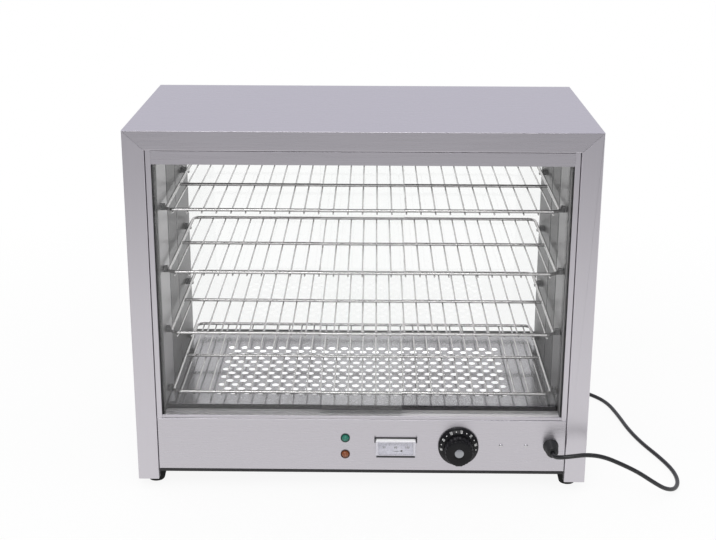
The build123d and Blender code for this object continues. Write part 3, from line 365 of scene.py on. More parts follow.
sky_turn_y = (-0.3, 0.3)
sky_turn_tones = (0.50, 0.84)
sky_rise_z = (0.0, 0.5)
sky_rise_tones = (0.84, 1.0)
sky_level = 0.86
studio = bpy.data.worlds.new("studio")
scene.world = studio
studio.use_nodes = True
sky_tree = studio.node_tree
sky_tree.nodes.clear()
sky_direct, sky_mirrored = sort_rays(sky_tree)[:2]
sky_way = add_node(sky_tree, "ShaderNodeTexCoord").outputs["Generated"]
sky_split = add_node(sky_tree, "ShaderNodeSeparateXYZ", {"Vector": sky_way}).outputs
sky_turn = ramp(sky_tree, sky_split["Y"], *sky_turn_y, *sky_turn_tones)
sky_rise = ramp(sky_tree, sky_split["Z"], *sky_rise_z, *sky_rise_tones)
sky_tone = times(sky_tree, sky_turn, sky_rise)
sky_light = blend_value(sky_tree, sky_mirrored, sky_level, sky_tone)
sky_strength = blend_value(sky_tree, sky_direct, sky_light, 1.0)
sky_tints = {"Factor": sky_mirrored, 6: (1.0, 1.0, 1.0, 1.0), 7: (0.98, 0.975, 1.075, 1.0)}
sky_cool = add_node(sky_tree, "ShaderNodeMix", sky_tints, data_type="RGBA").outputs[2]
sky_glow = tree_step(sky_tree, "ShaderNodeBackground", {"Color": sky_cool, "Strength": sky_strength})
add_node(sky_tree, "ShaderNodeOutputWorld", {"Surface": sky_glow})

soft_box_data = bpy.data.lights.new("soft_box", "AREA")
soft_box_data.shape = "RECTANGLE"
soft_box_data.size = 1.3
soft_box_data.size_y = 0.8
soft_box_data.energy = 15.0
soft_box = new_object("soft_box", soft_box_data)
soft_box.location = (-0.15, -1.75, 1.75)
soft_box_aim = Vector((0, 0, 0.2))
soft_box.rotation_euler = (soft_box_aim - soft_box.location).to_track_quat("-Z", "Y").to_euler()


# Outer case: stainless sheet, brushed along the length of each piece. The side panels are folded round to
# make the front stiles, and the top cover is folded down to make the fascia, with mitres where they meet.
fold_ease = 0.0003
case_fold = 0.0014
jamb_fold = 0.0006
panel_fold = 0.0009
level_colour = (0.570, 0.548, 0.583)
# The upright pieces are a paler colour than the level pieces of the same steel: painted light on the stiles
# and jambs.
upright_painted_light_colour = (0.622, 0.598, 0.636)
level_marks = (9.0, 1100.0, 1100.0)
upright_marks = (1100.0, 1100.0, 9.0)
upright_steel = brushed_metal(
    "upright_steel", upright_painted_light_colour, upright_marks, 0.36, across_upright, blur=0.15
)
level_steel = brushed_metal("level_steel", level_colour, level_marks, 0.27, blur=0.6)
for side in ("left", "right"):
    side_name = "side_panel_" + side
    dressed_copy(side_name, "brushed_side_" + side, upright_steel, "stainless", fold_ease, fold=case_fold)
    jamb_name = "jamb_" + side
    dressed_copy(jamb_name, "brushed_jamb_" + side, upright_steel, "stainless", fold_ease, fold=jamb_fold)
dressed_copy("top_cover", "brushed_top_cover", level_steel, "stainless", fold_ease, fold=case_fold)
dressed_copy("control_panel", "brushed_control_panel", level_steel, "stainless", fold_ease, fold=panel_fold)


# Tracks: satin anodised extrusions with two grooves each, one under the doors and one over them, on a
# folded carrier. The header shows the same brushed face as the fascia above it.
sill_marks = (9.0, 900.0, 900.0)
sill_metal = brushed_metal("sill_metal", (0.88, 0.86, 0.88), sill_marks, 0.42, blur=0.3)
shader_of(sill_metal).inputs["Metallic"].default_value = 0.20
dressed_copy("sill_track", "satin_sill_track", sill_metal, "track")
dressed_copy("header_track", "satin_header_track", level_steel, "track")
carrier_zinc = brushed_metal("carrier_zinc", (0.42, 0.42, 0.43), (160.0,) * 3, 0.42)
dressed_copy("track_carrier", "folded_carrier", carrier_zinc, "stainless", fold_ease)


# Jamb seals: rubber strips held in the jambs, which the panes meet when they are shut. They are black along
# the front, and painted grey behind as painted light, not the rubber's own colour.
def tint_beyond(finish, axis, low, high, tint):
    """Changes the colour of a finish beyond a place along one axis."""
    tree = finish.node_tree
    base_colour = shader_of(finish).inputs["Base Color"]
    place = add_node(tree, "ShaderNodeTexCoord").outputs["Object"]
    along = add_node(tree, "ShaderNodeSeparateXYZ", {"Vector": place}).outputs[axis]
    before = base_colour.links[0].from_socket
    picks = {"Factor": ramp(tree, along, low, high, 0.0, 1.0), 6: before, 7: (*tint, 1.0)}
    mixed = add_node(tree, "ShaderNodeMix", picks, data_type="RGBA").outputs[2]
    tree.links.new(mixed, base_colour)


jamb_rubber = plain_plastic("jamb_rubber", (0.010, 0.009, 0.010), 0.5)
jamb_painted_light_y = (-0.1535, -0.1520)
# The grey behind the front edge is painted light.
tint_beyond(jamb_rubber, "Y", *jamb_painted_light_y, (0.25, 0.245, 0.25))
for node_name in ("jamb_seal_left", "jamb_seal_right"):
    dressed_copy(node_name, "soft_" + node_name, jamb_rubber, "seal")


# Inner box: satin stainless liners with two pressed grooves down each side, and a flat ceiling. Behind the
# first groove the steel is painted darker as painted shade, and the right liner is painted darker than the
# left all over, also as painted shade.
liner_marks = (700.0, 700.0, 12.0)
painted_shade_y = (-0.046, -0.038)
liner_shades = {
    "side_liner_left": (0.52, 0.150),
    "side_liner_right": (0.31, 0.085),
    "ceiling_liner": (0.45, 0.15),
}
# Each liner has a front tone and a darker painted-shade tone behind the first groove; the right liner's
# lower tones are painted shade.
for node_name, (front_tone, painted_shade_tone) in liner_shades.items():
    front_colour = (front_tone, front_tone * 0.98, front_tone)
    painted_shade_colour = (painted_shade_tone, painted_shade_tone * 0.97, painted_shade_tone)
    liner_steel = brushed_metal(node_name + "_steel", front_colour, liner_marks, 0.36, across_upright)
    tint_beyond(liner_steel, "Y", *painted_shade_y, painted_shade_colour)
    dressed_copy(node_name, "satin_" + node_name, liner_steel, "liner", ease=0.0003)


# Rear seal: slim strip of black rubber round the edge of the rear glass, which beds the fixed pane
# against the case.
def smooth_by_angle(mesh, angle=35.0):
    """Smooth shading that stays crisp at edges sharper than an angle."""
    mesh.shade_smooth()
    mesh.set_sharp_from_angle(angle=math.radians(angle))


def shape_piece(shape, name, angle=35.0):
    """A piece from a shape, with its faces turned outwards and its shading smooth."""
    bmesh.ops.recalc_face_normals(shape, faces=shape.faces)
    mesh = bpy.data.meshes.new(name)
    shape.to_mesh(mesh)
    shape.free()
    smooth_by_angle(mesh, angle)
    return new_object(name, mesh)


def join_rings(shape, near, far):
    """Faces all the way round between two rings of points, where a ring may be a single point."""
    for step in range(max(len(near), len(far))):
        corners = [near[step % len(near)], near[(step + 1) % len(near)]]
        corners += [far[(step + 1) % len(far)], far[step % len(far)]]
        shape.faces.new(list(dict.fromkeys(corners)))


def ease_edges(shape, ease):
    """Rounds every edge of a shape a little."""
    bmesh.ops.bevel(shape, geom=list(shape.edges), offset=ease, segments=2, profile=0.5, affect="EDGES")


def ring_frame(name, low, high, rim, ease):
    """An upright rectangular ring between two corners, with a rim of one width all round."""
    shape = bmesh.new()
    rings = []
    for inset, depth in ((0.0, low[1]), (0.0, high[1]), (rim, high[1]), (rim, low[1])):
        left, right = low[0] + inset, high[0] - inset
        foot, head = low[2] + inset, high[2] - inset
        corners = ((left, foot), (right, foot), (right, head), (left, head))
        rings.append([shape.verts.new((x, depth, z)) for x, z in corners])
    for near, far in zip(rings, rings[1:] + rings[:1]):
        join_rings(shape, near, far)
    ease_edges(shape, ease)
    return shape_piece(shape, name)


rear_seal_rim = 0.0032
rear_seal_gap = 0.0001
seal_rubber = plain_plastic("seal_rubber", (0.012, 0.011, 0.012), 0.5)
seal_low, seal_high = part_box("rear_gasket")
seal_low = (seal_low[0], seal_low[1] + rear_seal_gap, seal_low[2])
rear_seal = ring_frame("slim_rear_seal", seal_low, seal_high, rear_seal_rim, ease=0.0005)
dress(rear_seal, seal_rubber, "seal", "rear_gasket")


# Sill lip: a hemmed strip of the panel's steel along the front of the sill, between the jambs. It hides
# the grooves and the feet of the panes.
lip_gap = 0.0002
lip_seam = 0.0008
lip_recess = 0.0004
lip_radius = 0.0008
lip_height = 0.0044
lip_steps = 8
left_jamb_low, left_jamb_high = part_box("jamb_left")
lip_left = left_jamb_high[0] + lip_gap
lip_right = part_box("jamb_right")[0][0] - lip_gap
lip_front = left_jamb_low[1] + lip_recess
lip_foot = left_jamb_low[2] + lip_seam
lip_outline = [(lip_front + 2 * lip_radius, lip_foot), (lip_front, lip_foot)]
for step in range(lip_steps + 1):
    turn = math.pi * step / lip_steps
    lip_y = lip_front + lip_radius * (1 - math.cos(turn))
    lip_outline.append((lip_y, lip_foot + lip_height - lip_radius * (1 - math.sin(turn))))
lip_shape = bmesh.new()
lip_ends = [[lip_shape.verts.new((x, y, z)) for y, z in lip_outline] for x in (lip_left, lip_right)]
for end in lip_ends:
    lip_shape.faces.new(end)
join_rings(lip_shape, *lip_ends)
sill_lip = shape_piece(lip_shape, "sill_lip")
dress(sill_lip, level_steel, "stainless")


# Glass: 4 mm float glass with polished edges. Two panes slide in the tracks in front, and a fixed pane
# closes the case behind.
def clear_finish(name, colour, roughness, bending, ripple_scale, ripple_depth):
    """A clear material with a faint ripple in its surface."""
    finish, tree, shader = new_finish(name, colour, roughness)
    shader.inputs["Transmission Weight"].default_value = 1.0
    shader.inputs["IOR"].default_value = bending
    place = add_node(tree, "ShaderNodeTexCoord").outputs["Object"]
    ripple = tree_step(tree, "ShaderNodeTexNoise", {"Vector": place, "Scale": ripple_scale})
    relief = tree_step(tree, "ShaderNodeBump", {"Height": ripple, "Distance": ripple_depth})
    tree.links.new(relief, shader.inputs["Normal"])
    return finish


float_glass = clear_finish("float_glass", (0.993, 0.997, 0.995), 0.0, 1.45, 2.5, 0.00004)
pane_bodies = {"glass_door_left": "left_door", "glass_door_right": "right_door", "rear_glass": "case"}
for node_name, body in pane_bodies.items():
    dressed_copy(node_name, "clear_" + node_name, float_glass, "door_glass", ease=0.0004, body=body)


# Shelf pegs: grey moulded stubs in rows down both sides, riveted through the liners, each with a tongue
# under the shelf's side wire.
peg_plastic = plain_plastic("peg_plastic", (0.10, 0.10, 0.103), 0.42)
for side in ("left", "right"):
    dressed_copy("shelf_pegs_" + side, "moulded_pegs_" + side, peg_plastic, "pegs", ease=0.0009)


# Wire shelves: nickel-plated round wire. A rounded frame and a cross wire carry thin bars welded
# underneath, which stand a little past the frame at the front and back.
def new_geometry_tree(name, inputs):
    """An empty geometry tree with its named inputs, and its input sockets and output node."""
    tree = bpy.data.node_groups.new(name, "GeometryNodeTree")
    tree.interface.new_socket("Geometry", in_out="OUTPUT", socket_type="NodeSocketGeometry")
    for label, value in inputs.items():
        kind = {float: "NodeSocketFloat", int: "NodeSocketInt"}.get(type(value), "NodeSocketMaterial")
        socket = tree.interface.new_socket(label, in_out="INPUT", socket_type=kind)
        if kind != "NodeSocketMaterial":
            socket.default_value = value
    return tree, tree.nodes.new("NodeGroupInput").outputs, tree.nodes.new("NodeGroupOutput")


def tree_join(tree, *shapes):
    """Several geometries joined."""
    joined = tree.nodes.new("GeometryNodeJoinGeometry")
    for shape in shapes:
        tree.links.new(shape, joined.inputs[0])
    return joined.outputs[0]


def moved(tree, shape, y=0.0, z=0.0):
    """A geometry moved by values or sockets."""
    shift = {"Geometry": shape, "Translation": tree_place(tree, y=y, z=z)}
    return tree_step(tree, "GeometryNodeTransform", shift)


def rectangle(tree, width, depth):
    """A flat rectangular outline about the middle."""
    return tree_step(tree, "GeometryNodeCurvePrimitiveQuadrilateral", {"Width": width, "Height": depth})


def span(tree, low, high):
    """Distance between two values, and the value halfway."""
    distance = minus(tree, high, low)
    return distance, times(tree, tree_math(tree, "ADD", high, low), 0.5)


def middle_line(tree, axis, half):
    """A straight line along one axis, as far each way from the middle."""
    start = tree_place(tree, **{axis: times(tree, half, -1.0)})
    ends = {"Start": start, "End": tree_place(tree, **{axis: half})}
    return tree_step(tree, "GeometryNodeCurvePrimitiveLine", ends)


def finish_tree(tree, shape, material, output):
    """Ends a tree with plain geometry in its material."""
    real = tree_step(tree, "GeometryNodeRealizeInstances", {"Geometry": shape})
    coated = tree_step(tree, "GeometryNodeSetMaterial", {"Geometry": real, "Material": material})
    tree.links.new(coated, output.inputs[0])


def plain_mesh(holder):
    """The mesh that an object shows, on its own, in place of the object."""
    bpy.context.view_layer.update()
    mesh = bpy.data.meshes.new_from_object(holder.evaluated_get(bpy.context.evaluated_depsgraph_get()))
    bpy.data.objects.remove(holder)
    return mesh


def grown_mesh(name, tree, values):
    """A plain mesh object from a geometry tree with the given input values."""
    holder = new_object(name + "_grower", bpy.data.meshes.new(name + "_grower"))
    modifier = holder.modifiers.new("grow", "NODES")
    modifier.node_group = tree
    sockets = {item.name: item.identifier for item in tree.interface.items_tree if item.in_out == "INPUT"}
    for label, value in values.items():
        modifier[sockets[label]] = value
    mesh = plain_mesh(holder)
    mesh.name = name
    smooth_by_angle(mesh)
    return new_object(name, mesh)


def round_wire(tree, line, radius, sides):
    """Round wire with closed ends along a curve."""
    profile = tree_step(tree, "GeometryNodeCurvePrimitiveCircle", {"Resolution": sides, "Radius": radius})
    wire = {"Curve": line, "Profile Curve": profile, "Fill Caps": True}
    return tree_step(tree, "GeometryNodeCurveToMesh", wire)


shelf_heights = {"bottom_shelf": 0.1372, "lower_shelf": 0.2329, "upper_shelf": 0.3286, "top_shelf": 0.4243}
nickel_wire, nickel_tree, nickel_shader = new_finish("nickel_wire", (0.50, 0.49, 0.49), 0.16, 1.0)
nickel_shades = ((0.42, 0.41, 0.41), (0.54, 0.53, 0.53))
add_grain(nickel_tree, nickel_shader, (260.0,) * 3, nickel_shades, (0.10, 0.20), 0.000008)
shelf_tree, shelf_in, shelf_out = new_geometry_tree(
    "wire_shelf",
    {
        "Height": 0.0,
        "Half Width": 0.288,
        "Front": -0.11775,
        "Rear": 0.18125,
        "Corner": 0.012,
        "Frame Radius": 0.0025,
        "Bar Radius": 0.0013,
        "Bars": 27,
        "Pitch": 0.0213,
        "Overhang": 0.005,
        "Drop": 0.0035,
        "Finish": None,
    },
)
shelf_depth, shelf_middle = span(shelf_tree, shelf_in["Front"], shelf_in["Rear"])
shelf_width = times(shelf_tree, shelf_in["Half Width"], 2.0)
frame_outline = rectangle(shelf_tree, shelf_width, shelf_depth)
frame_corner = {"Curve": frame_outline, "Radius": shelf_in["Corner"], "Count": 10}
frame_rounded = tree_step(shelf_tree, "GeometryNodeFilletCurve", frame_corner, mode="POLY")
cross_line = middle_line(shelf_tree, "x", shelf_in["Half Width"])
heavy_lines = tree_join(shelf_tree, frame_rounded, cross_line)
heavy_wires = round_wire(shelf_tree, heavy_lines, shelf_in["Frame Radius"], sides=16)
half_depth = times(shelf_tree, shelf_depth, 0.5)
bar_reach = tree_math(shelf_tree, "ADD", half_depth, shelf_in["Overhang"])
bar_wire = round_wire(shelf_tree, middle_line(shelf_tree, "y", bar_reach), shelf_in["Bar Radius"], sides=10)
bar_gaps = minus(shelf_tree, shelf_in["Bars"], 1.0)
bar_span = times(shelf_tree, bar_gaps, shelf_in["Pitch"])
row_x = times(shelf_tree, bar_span, -0.5)
row_z = times(shelf_tree, shelf_in["Drop"], -1.0)
row_start = tree_place(shelf_tree, x=row_x, z=row_z)
row_step = tree_place(shelf_tree, x=shelf_in["Pitch"])
row_points = {"Count": shelf_in["Bars"], "Start Location": row_start, "Offset": row_step}
bar_row = tree_step(shelf_tree, "GeometryNodeMeshLine", row_points)
bars = tree_step(shelf_tree, "GeometryNodeInstanceOnPoints", {"Points": bar_row, "Instance": bar_wire})
all_wires = tree_join(shelf_tree, heavy_wires, bars)
placed_shelf = moved(shelf_tree, all_wires, y=shelf_middle, z=shelf_in["Height"])
finish_tree(shelf_tree, placed_shelf, shelf_in["Finish"], shelf_out)
for shelf_name, height in shelf_heights.items():
    shelf = grown_mesh("wired_" + shelf_name, shelf_tree, {"Height": height, "Finish": nickel_wire})
    dress(shelf, nickel_wire, "shelf_wire", shelf_name, body=shelf_name + "_body")


# Perforated deck: bright stainless tray, punched with staggered rows of round holes between two plain
# margins, whose skirt stands on the ledges of the liners.
deck_half_width = 0.296
deck_front = -0.12775
deck_top = 0.1215
deck_foot = 0.1085
deck_tree, deck_in, deck_out = new_geometry_tree(
    "perforated_deck",
    {
        "Half Width": deck_half_width,
        "Front": deck_front,
        "Rear": 0.18575,
        "Top": deck_top,
        "Foot": deck_foot,
        "Gauge": 0.0007,
        "Hole Radius": 0.0058,
        "Hole Sides": 16,
        "Pitch": 0.021,
        "Row Pitch": 0.016,
        "Columns": 22,
        "Long Rows": 7,
        "Field Middle": 0.01225,
        "Finish": None,
    },
)


def drawn_down(tree, outline, depth):
    """A closed slab from flat outlines, drawn straight down by a depth."""
    top = tree_step(tree, "GeometryNodeFillCurve", {"Curve": outline})
    way = tree_place(tree, z=-1.0)
    down = {"Mesh": top, "Offset": way, "Offset Scale": depth, "Individual": False}
    drawn = tree_step(tree, "GeometryNodeExtrudeMesh", down)
    turned_out = tree_step(tree, "GeometryNodeFlipFaces", {"Mesh": drawn})
    whole = tree_join(tree, top, turned_out)
    return tree_step(tree, "GeometryNodeMergeByDistance", {"Geometry": whole, "Distance": 0.00001})


def hole_field(columns, rows):
    """Outlines of the holes of every second row."""
    column_gaps = minus(deck_tree, columns, 1.0)
    width = times(deck_tree, column_gaps, deck_in["Pitch"])
    row_gaps = minus(deck_tree, rows, 1.0)
    two_rows = times(deck_tree, deck_in["Row Pitch"], 2.0)
    depth = times(deck_tree, row_gaps, two_rows)
    counts = {"Size X": width, "Size Y": depth, "Vertices X": columns, "Vertices Y": rows}
    grid = tree_step(deck_tree, "GeometryNodeMeshGrid", counts)
    holes = tree_step(deck_tree, "GeometryNodeInstanceOnPoints", {"Points": grid, "Instance": hole})
    return moved(deck_tree, holes, y=deck_in["Field Middle"])


deck_width = times(deck_tree, deck_in["Half Width"], 2.0)
deck_depth, deck_middle = span(deck_tree, deck_in["Front"], deck_in["Rear"])
deck_edge = moved(deck_tree, rectangle(deck_tree, deck_width, deck_depth), y=deck_middle)
hole_sides = {"Resolution": deck_in["Hole Sides"], "Radius": deck_in["Hole Radius"]}
hole = tree_step(deck_tree, "GeometryNodeCurvePrimitiveCircle", hole_sides)
long_rows = hole_field(deck_in["Columns"], deck_in["Long Rows"])
fewer_columns = minus(deck_tree, deck_in["Columns"], 1.0)
fewer_rows = minus(deck_tree, deck_in["Long Rows"], 1.0)
short_rows = hole_field(fewer_columns, fewer_rows)
plate_lines = tree_join(deck_tree, deck_edge, long_rows, short_rows)
plate_lines = tree_step(deck_tree, "GeometryNodeRealizeInstances", {"Geometry": plate_lines})
plate = moved(deck_tree, drawn_down(deck_tree, plate_lines, deck_in["Gauge"]), z=deck_in["Top"])
two_gauges = times(deck_tree, deck_in["Gauge"], 2.0)
inner_width = minus(deck_tree, deck_width, two_gauges)
inner_depth = minus(deck_tree, deck_depth, two_gauges)
inner_edge = moved(deck_tree, rectangle(deck_tree, inner_width, inner_depth), y=deck_middle)
skirt_top = minus(deck_tree, deck_in["Top"], deck_in["Gauge"])
skirt_depth = minus(deck_tree, skirt_top, deck_in["Foot"])
skirt = drawn_down(deck_tree, tree_join(deck_tree, deck_edge, inner_edge), skirt_depth)
skirt = moved(deck_tree, skirt, z=skirt_top)
finish_tree(deck_tree, tree_join(deck_tree, plate, skirt), deck_in["Finish"], deck_out)
deck_steel = brushed_metal("deck_steel", (0.36, 0.355, 0.375), (9.0, 400.0, 400.0), 0.17)
deck = grown_mesh("punched_deck", deck_tree, {"Finish": deck_steel})
dress(deck, deck_steel, "deck", "perforated_deck")


# Edge strips: black rubber along the lower edge of the control panel, where it meets the base tray, and
# along the front of the deck, where it closes the gap to the sill. Both are dark pieces put where there is
# only shade: the panel strip is a painted shadow under the panel, and the deck strip is painted shade in
# the gap.
def strip(name, low, high, ease):
    """A straight strip between two corners with its edges eased."""
    shape = bmesh.new()
    bmesh.ops.create_cube(shape, size=1.0)
    for vertex in shape.verts:
        vertex.co = Vector([a + (c + 0.5) * (b - a) for a, b, c in zip(low, high, vertex.co)])
    ease_edges(shape, ease)
    return shape_piece(shape, name)


# A dark strip put as a painted shadow under the panel's lower edge.
shadow_strip_low = (-0.3050, -0.1680, 0.0270)
shadow_strip_high = (0.3050, -0.1650, 0.0315)
panel_shadow_strip = strip("panel_edge_shadow_strip", shadow_strip_low, shadow_strip_high, ease=0.0004)
dress(panel_shadow_strip, seal_rubber, "seal")
# A dark strip put as painted shade in the gap in front of the deck.
shadow_strip_reach = 0.0014
shadow_strip_gap = 0.0001
shadow_strip_drop = 0.0012
deck_shadow_low = (-deck_half_width, deck_front - shadow_strip_reach, deck_foot)
deck_shadow_high = (deck_half_width, deck_front - shadow_strip_gap, deck_top - shadow_strip_drop)
deck_shadow_strip = strip("deck_edge_shadow_strip", deck_shadow_low, deck_shadow_high, ease=0.0003)
dress(deck_shadow_strip, seal_rubber, "seal")


# Heat pan: tray in bright white enamel under the deck, which throws the heat of the elements up through the
# holes. Its enamel glows a little, as painted light that brightens it where it shows through the holes.
pan_painted_glow = 0.85
pan_enamel, pan_tree, pan_shader = new_finish("pan_enamel", (0.90, 0.90, 0.90), 0.35)
pan_shades = ((0.88, 0.88, 0.88), (0.93, 0.93, 0.92))
add_grain(pan_tree, pan_shader, (60.0,) * 3, pan_shades, (0.3, 0.4), 0.00002)
# The glow is painted light: the pan is no lamp.
pan_shader.inputs["Emission Color"].default_value = (1.0, 1.0, 1.0, 1.0)
pan_shader.inputs["Emission Strength"].default_value = pan_painted_glow
dressed_copy("heat_pan", "enamelled_pan", pan_enamel, "deck", ease=0.0003)


# Heaters: hairpins of steel-sheathed element, dulled by heat, with an insulating collar and a pin on each
# leg, held by plated clips that stand in the pan.
sheath_steel = brushed_metal("sheath_steel", (0.30, 0.29, 0.27), (200.0,) * 3, 0.45)
for side in ("left", "right"):
    heater_name = "sheathed_heater_" + side
    dressed_copy("heater_" + side, heater_name, sheath_steel, "heater_sheath", angle=60.0)
plated_zinc = brushed_metal("plated_zinc", (0.55, 0.55, 0.53), (500.0,) * 3, 0.34)
for node_name in ("heater_terminals", "heater_clips"):
    dressed_copy(node_name, "plated_" + node_name, plated_zinc, "zinc", angle=60.0)


# Rear panel and base tray: folded stainless sheet that closes the base behind and underneath, slotted so
# that air can pass.
for node_name in ("rear_panel", "base_tray"):
    dressed_copy(node_name, "slotted_" + node_name, level_steel, "stainless", fold_ease)


# Feet: tapered rubber, turned up from a soft lower edge and hollow underneath, where a plated screw goes
# up through each foot into its nut on the tray.
def turned(name, profile, centre, sides, upward=False, flutes=0, flute_depth=0.0, angle=35.0):
    """A form turned about a line through its centre, from radii at distances along that line."""
    shape = bmesh.new()
    rings = []
    for radius, reach in profile:
        ring = []
        for step in range(sides if radius else 1):
            turn = 2 * math.pi * step / sides
            fluted = radius * (1 - flute_depth * (0.5 + 0.5 * math.cos(flutes * turn)))
            across, along = fluted * math.cos(turn), fluted * math.sin(turn)
            place = (across, along, reach) if upward else (across, -reach, along)
            ring.append(shape.verts.new(Vector(centre) + Vector(place)))
        rings.append(ring)
    for near, far in zip(rings, rings[1:]):
        join_rings(shape, near, far)
    return shape_piece(shape, name, angle)


foot_rubber = plain_plastic("foot_rubber", (0.004, 0.004, 0.004), 0.5)
shader_of(foot_rubber).inputs["Specular IOR Level"].default_value = 0.2
foot_places = {
    "foot_front_left": (-0.3155, -0.13675),
    "foot_rear_left": (-0.3155, 0.16325),
    "foot_front_right": (0.3155, -0.13675),
    "foot_rear_right": (0.3155, 0.16325),
}
foot_profile = [
    (0.0027, 0.0325),
    (0.0027, 0.0080),
    (0.0074, 0.0080),
    (0.0078, 0.0006),
    (0.0084, 0.0),
    (0.0104, 0.0),
    (0.0115, 0.0005),
    (0.0123, 0.0018),
    (0.0190, 0.0290),
    (0.0194, 0.0318),
    (0.0188, 0.0325),
    (0.0027, 0.0325),
]
for node_name, (foot_x, foot_y) in foot_places.items():
    foot = turned("rubber_" + node_name, foot_profile, (foot_x, foot_y, 0.0), sides=40, upward=True)
    dress(foot, foot_rubber, "foot_rubber", node_name)
dressed_copy("foot_screws", "plated_foot_screws", plated_zinc, "zinc", ease=0.0003, angle=50.0)


# Thermostat: pale moulded body behind the panel with its wire tabs, a steel shaft, and a copper bulb over
# the floor of the pan, joined to the body by a thin capillary and held by two plated clips.
body_plastic = plain_plastic("thermostat_plastic", (0.62, 0.58, 0.50), 0.5)
dressed_copy("thermostat_body", "moulded_thermostat", body_plastic, "thermostat", ease=0.0005)
shaft_steel = brushed_metal("shaft_steel", (0.60, 0.60, 0.60), (700.0, 30.0, 700.0), 0.25, across_turned)
dressed_copy("thermostat_shaft", "turned_shaft", shaft_steel, "shaft_steel", body="knob", angle=50.0)
bulb_copper = brushed_metal("bulb_copper", (0.74, 0.42, 0.27), (60.0, 500.0, 500.0), 0.30)
dressed_copy("thermostat_bulb", "copper_bulb", bulb_copper, "copper", angle=70.0)
dressed_copy("bulb_clips", "plated_bulb_clips", plated_zinc, "zinc", angle=50.0)


# Dial knob: one black moulding, with a sloped skirt that carries the white scale, a ribbed grip with a
# pointer nose at its foot, and a plain silver cap set into its face.
face_y = -0.16775
knob_centre = Vector((0.1455, face_y, 0.0725))
skirt_profile = [
    (0.0, 0.0038),
    (0.0272, 0.0036),
    (0.0276, 0.0006),
    (0.0295, 0.0006),
    (0.03025, 0.0014),
    (0.03025, 0.0040),
    (0.0299, 0.0046),
    (0.0236, 0.0087),
    (0.0228, 0.0090),
    (0.0218, 0.0090),
    (0.0214, 0.0097),
    (0.0, 0.0097),
]
grip_profile = [
    (0.0221, 0.0060),
    (0.0221, 0.0103),
    (0.0208, 0.0262),
    (0.0203, 0.0270),
    (0.0195, 0.0275),
    (0.0072, 0.0275),
    (0.0068, 0.0272),
    (0.0, 0.0272),
]
cap_profile = [(0.0, 0.0262), (0.00665, 0.0262), (0.00665, 0.0276), (0.0061, 0.0279), (0.0, 0.0280)]
knob_plastic = plain_plastic("knob_plastic", (0.0035, 0.0035, 0.0045), 0.26)
shader_of(knob_plastic).inputs["Specular IOR Level"].default_value = 0.22
knob_skirt = turned("knob_skirt", skirt_profile, knob_centre, sides=96)
dress(knob_skirt, knob_plastic, "knob_black", "dial_knob", body="knob")
knob_grip = turned(
    "knob_grip", grip_profile, knob_centre, sides=144, flutes=24, flute_depth=0.035, angle=50.0
)
dress(knob_grip, knob_plastic, "knob_black", body="knob")
nose_root_half = 0.0142
nose_tip_half = 0.0046
nose_root_z = -0.0145
nose_steps = ((1.0, -0.0225, 0.0060), (0.92, -0.0212, 0.0262), (0.86, -0.0204, 0.0270))
nose_shape = bmesh.new()
nose_rings = []
for scale, tip_z, reach in nose_steps:
    root = nose_root_half * scale
    tip = nose_tip_half * scale
    corners = ((-root, nose_root_z), (root, nose_root_z), (tip, tip_z), (-tip, tip_z))
    nose_rings.append([nose_shape.verts.new(knob_centre + Vector((x, -reach, z))) for x, z in corners])
nose_shape.faces.new(nose_rings[0])
nose_shape.faces.new(nose_rings[-1])
for near, far in zip(nose_rings, nose_rings[1:]):
    join_rings(nose_shape, near, far)
ease_edges(nose_shape, ease=0.0004)
knob_nose = shape_piece(nose_shape, "knob_nose")
dress(knob_nose, knob_plastic, "knob_black", body="knob")
cap_silver = brushed_metal("cap_silver", (0.36, 0.37, 0.39), (900.0,) * 3, 0.30, across_turned)
knob_cap = turned("silver_cap", cap_profile, knob_centre, sides=48)
dress(knob_cap, cap_silver, "cap_silver", "knob_cap", body="knob")


# Dial scale: white numbers and dots printed on the slope of the knob's skirt, from the lower left round
# over the top to the lower right.
def flat_text(words, size, thickness):
    """Letters of a height as a thin mesh, centred on their own middle."""
    letters = bpy.data.curves.new("letters", "FONT")
    letters.body = words
    letters.size = size
    letters.align_x = "CENTER"
    letters.align_y = "CENTER"
    letters.extrude = thickness
    letters.resolution_u = 3
    return plain_mesh(new_object("letters", letters))


def dot_mesh(radius, thickness, sides=16):
    """A small round dot."""
    dot = bmesh.new()
    size = {"radius1": radius, "radius2": radius, "depth": 2 * thickness}
    bmesh.ops.create_cone(dot, cap_ends=True, segments=sides, **size)
    mesh = bpy.data.meshes.new("dot")
    dot.to_mesh(mesh)
    dot.free()
    return mesh


def add_mark(shape, mesh, place, across, outward):
    """Adds a small mesh at a place, with its X and its Z along given directions."""
    across = across.normalized()
    outward = outward.normalized()
    up = outward.cross(across)
    turn_and_place = Matrix((across, up, outward)).transposed().to_4x4()
    turn_and_place.translation = place
    mesh.transform(turn_and_place)
    shape.from_mesh(mesh)
    bpy.data.meshes.remove(mesh)


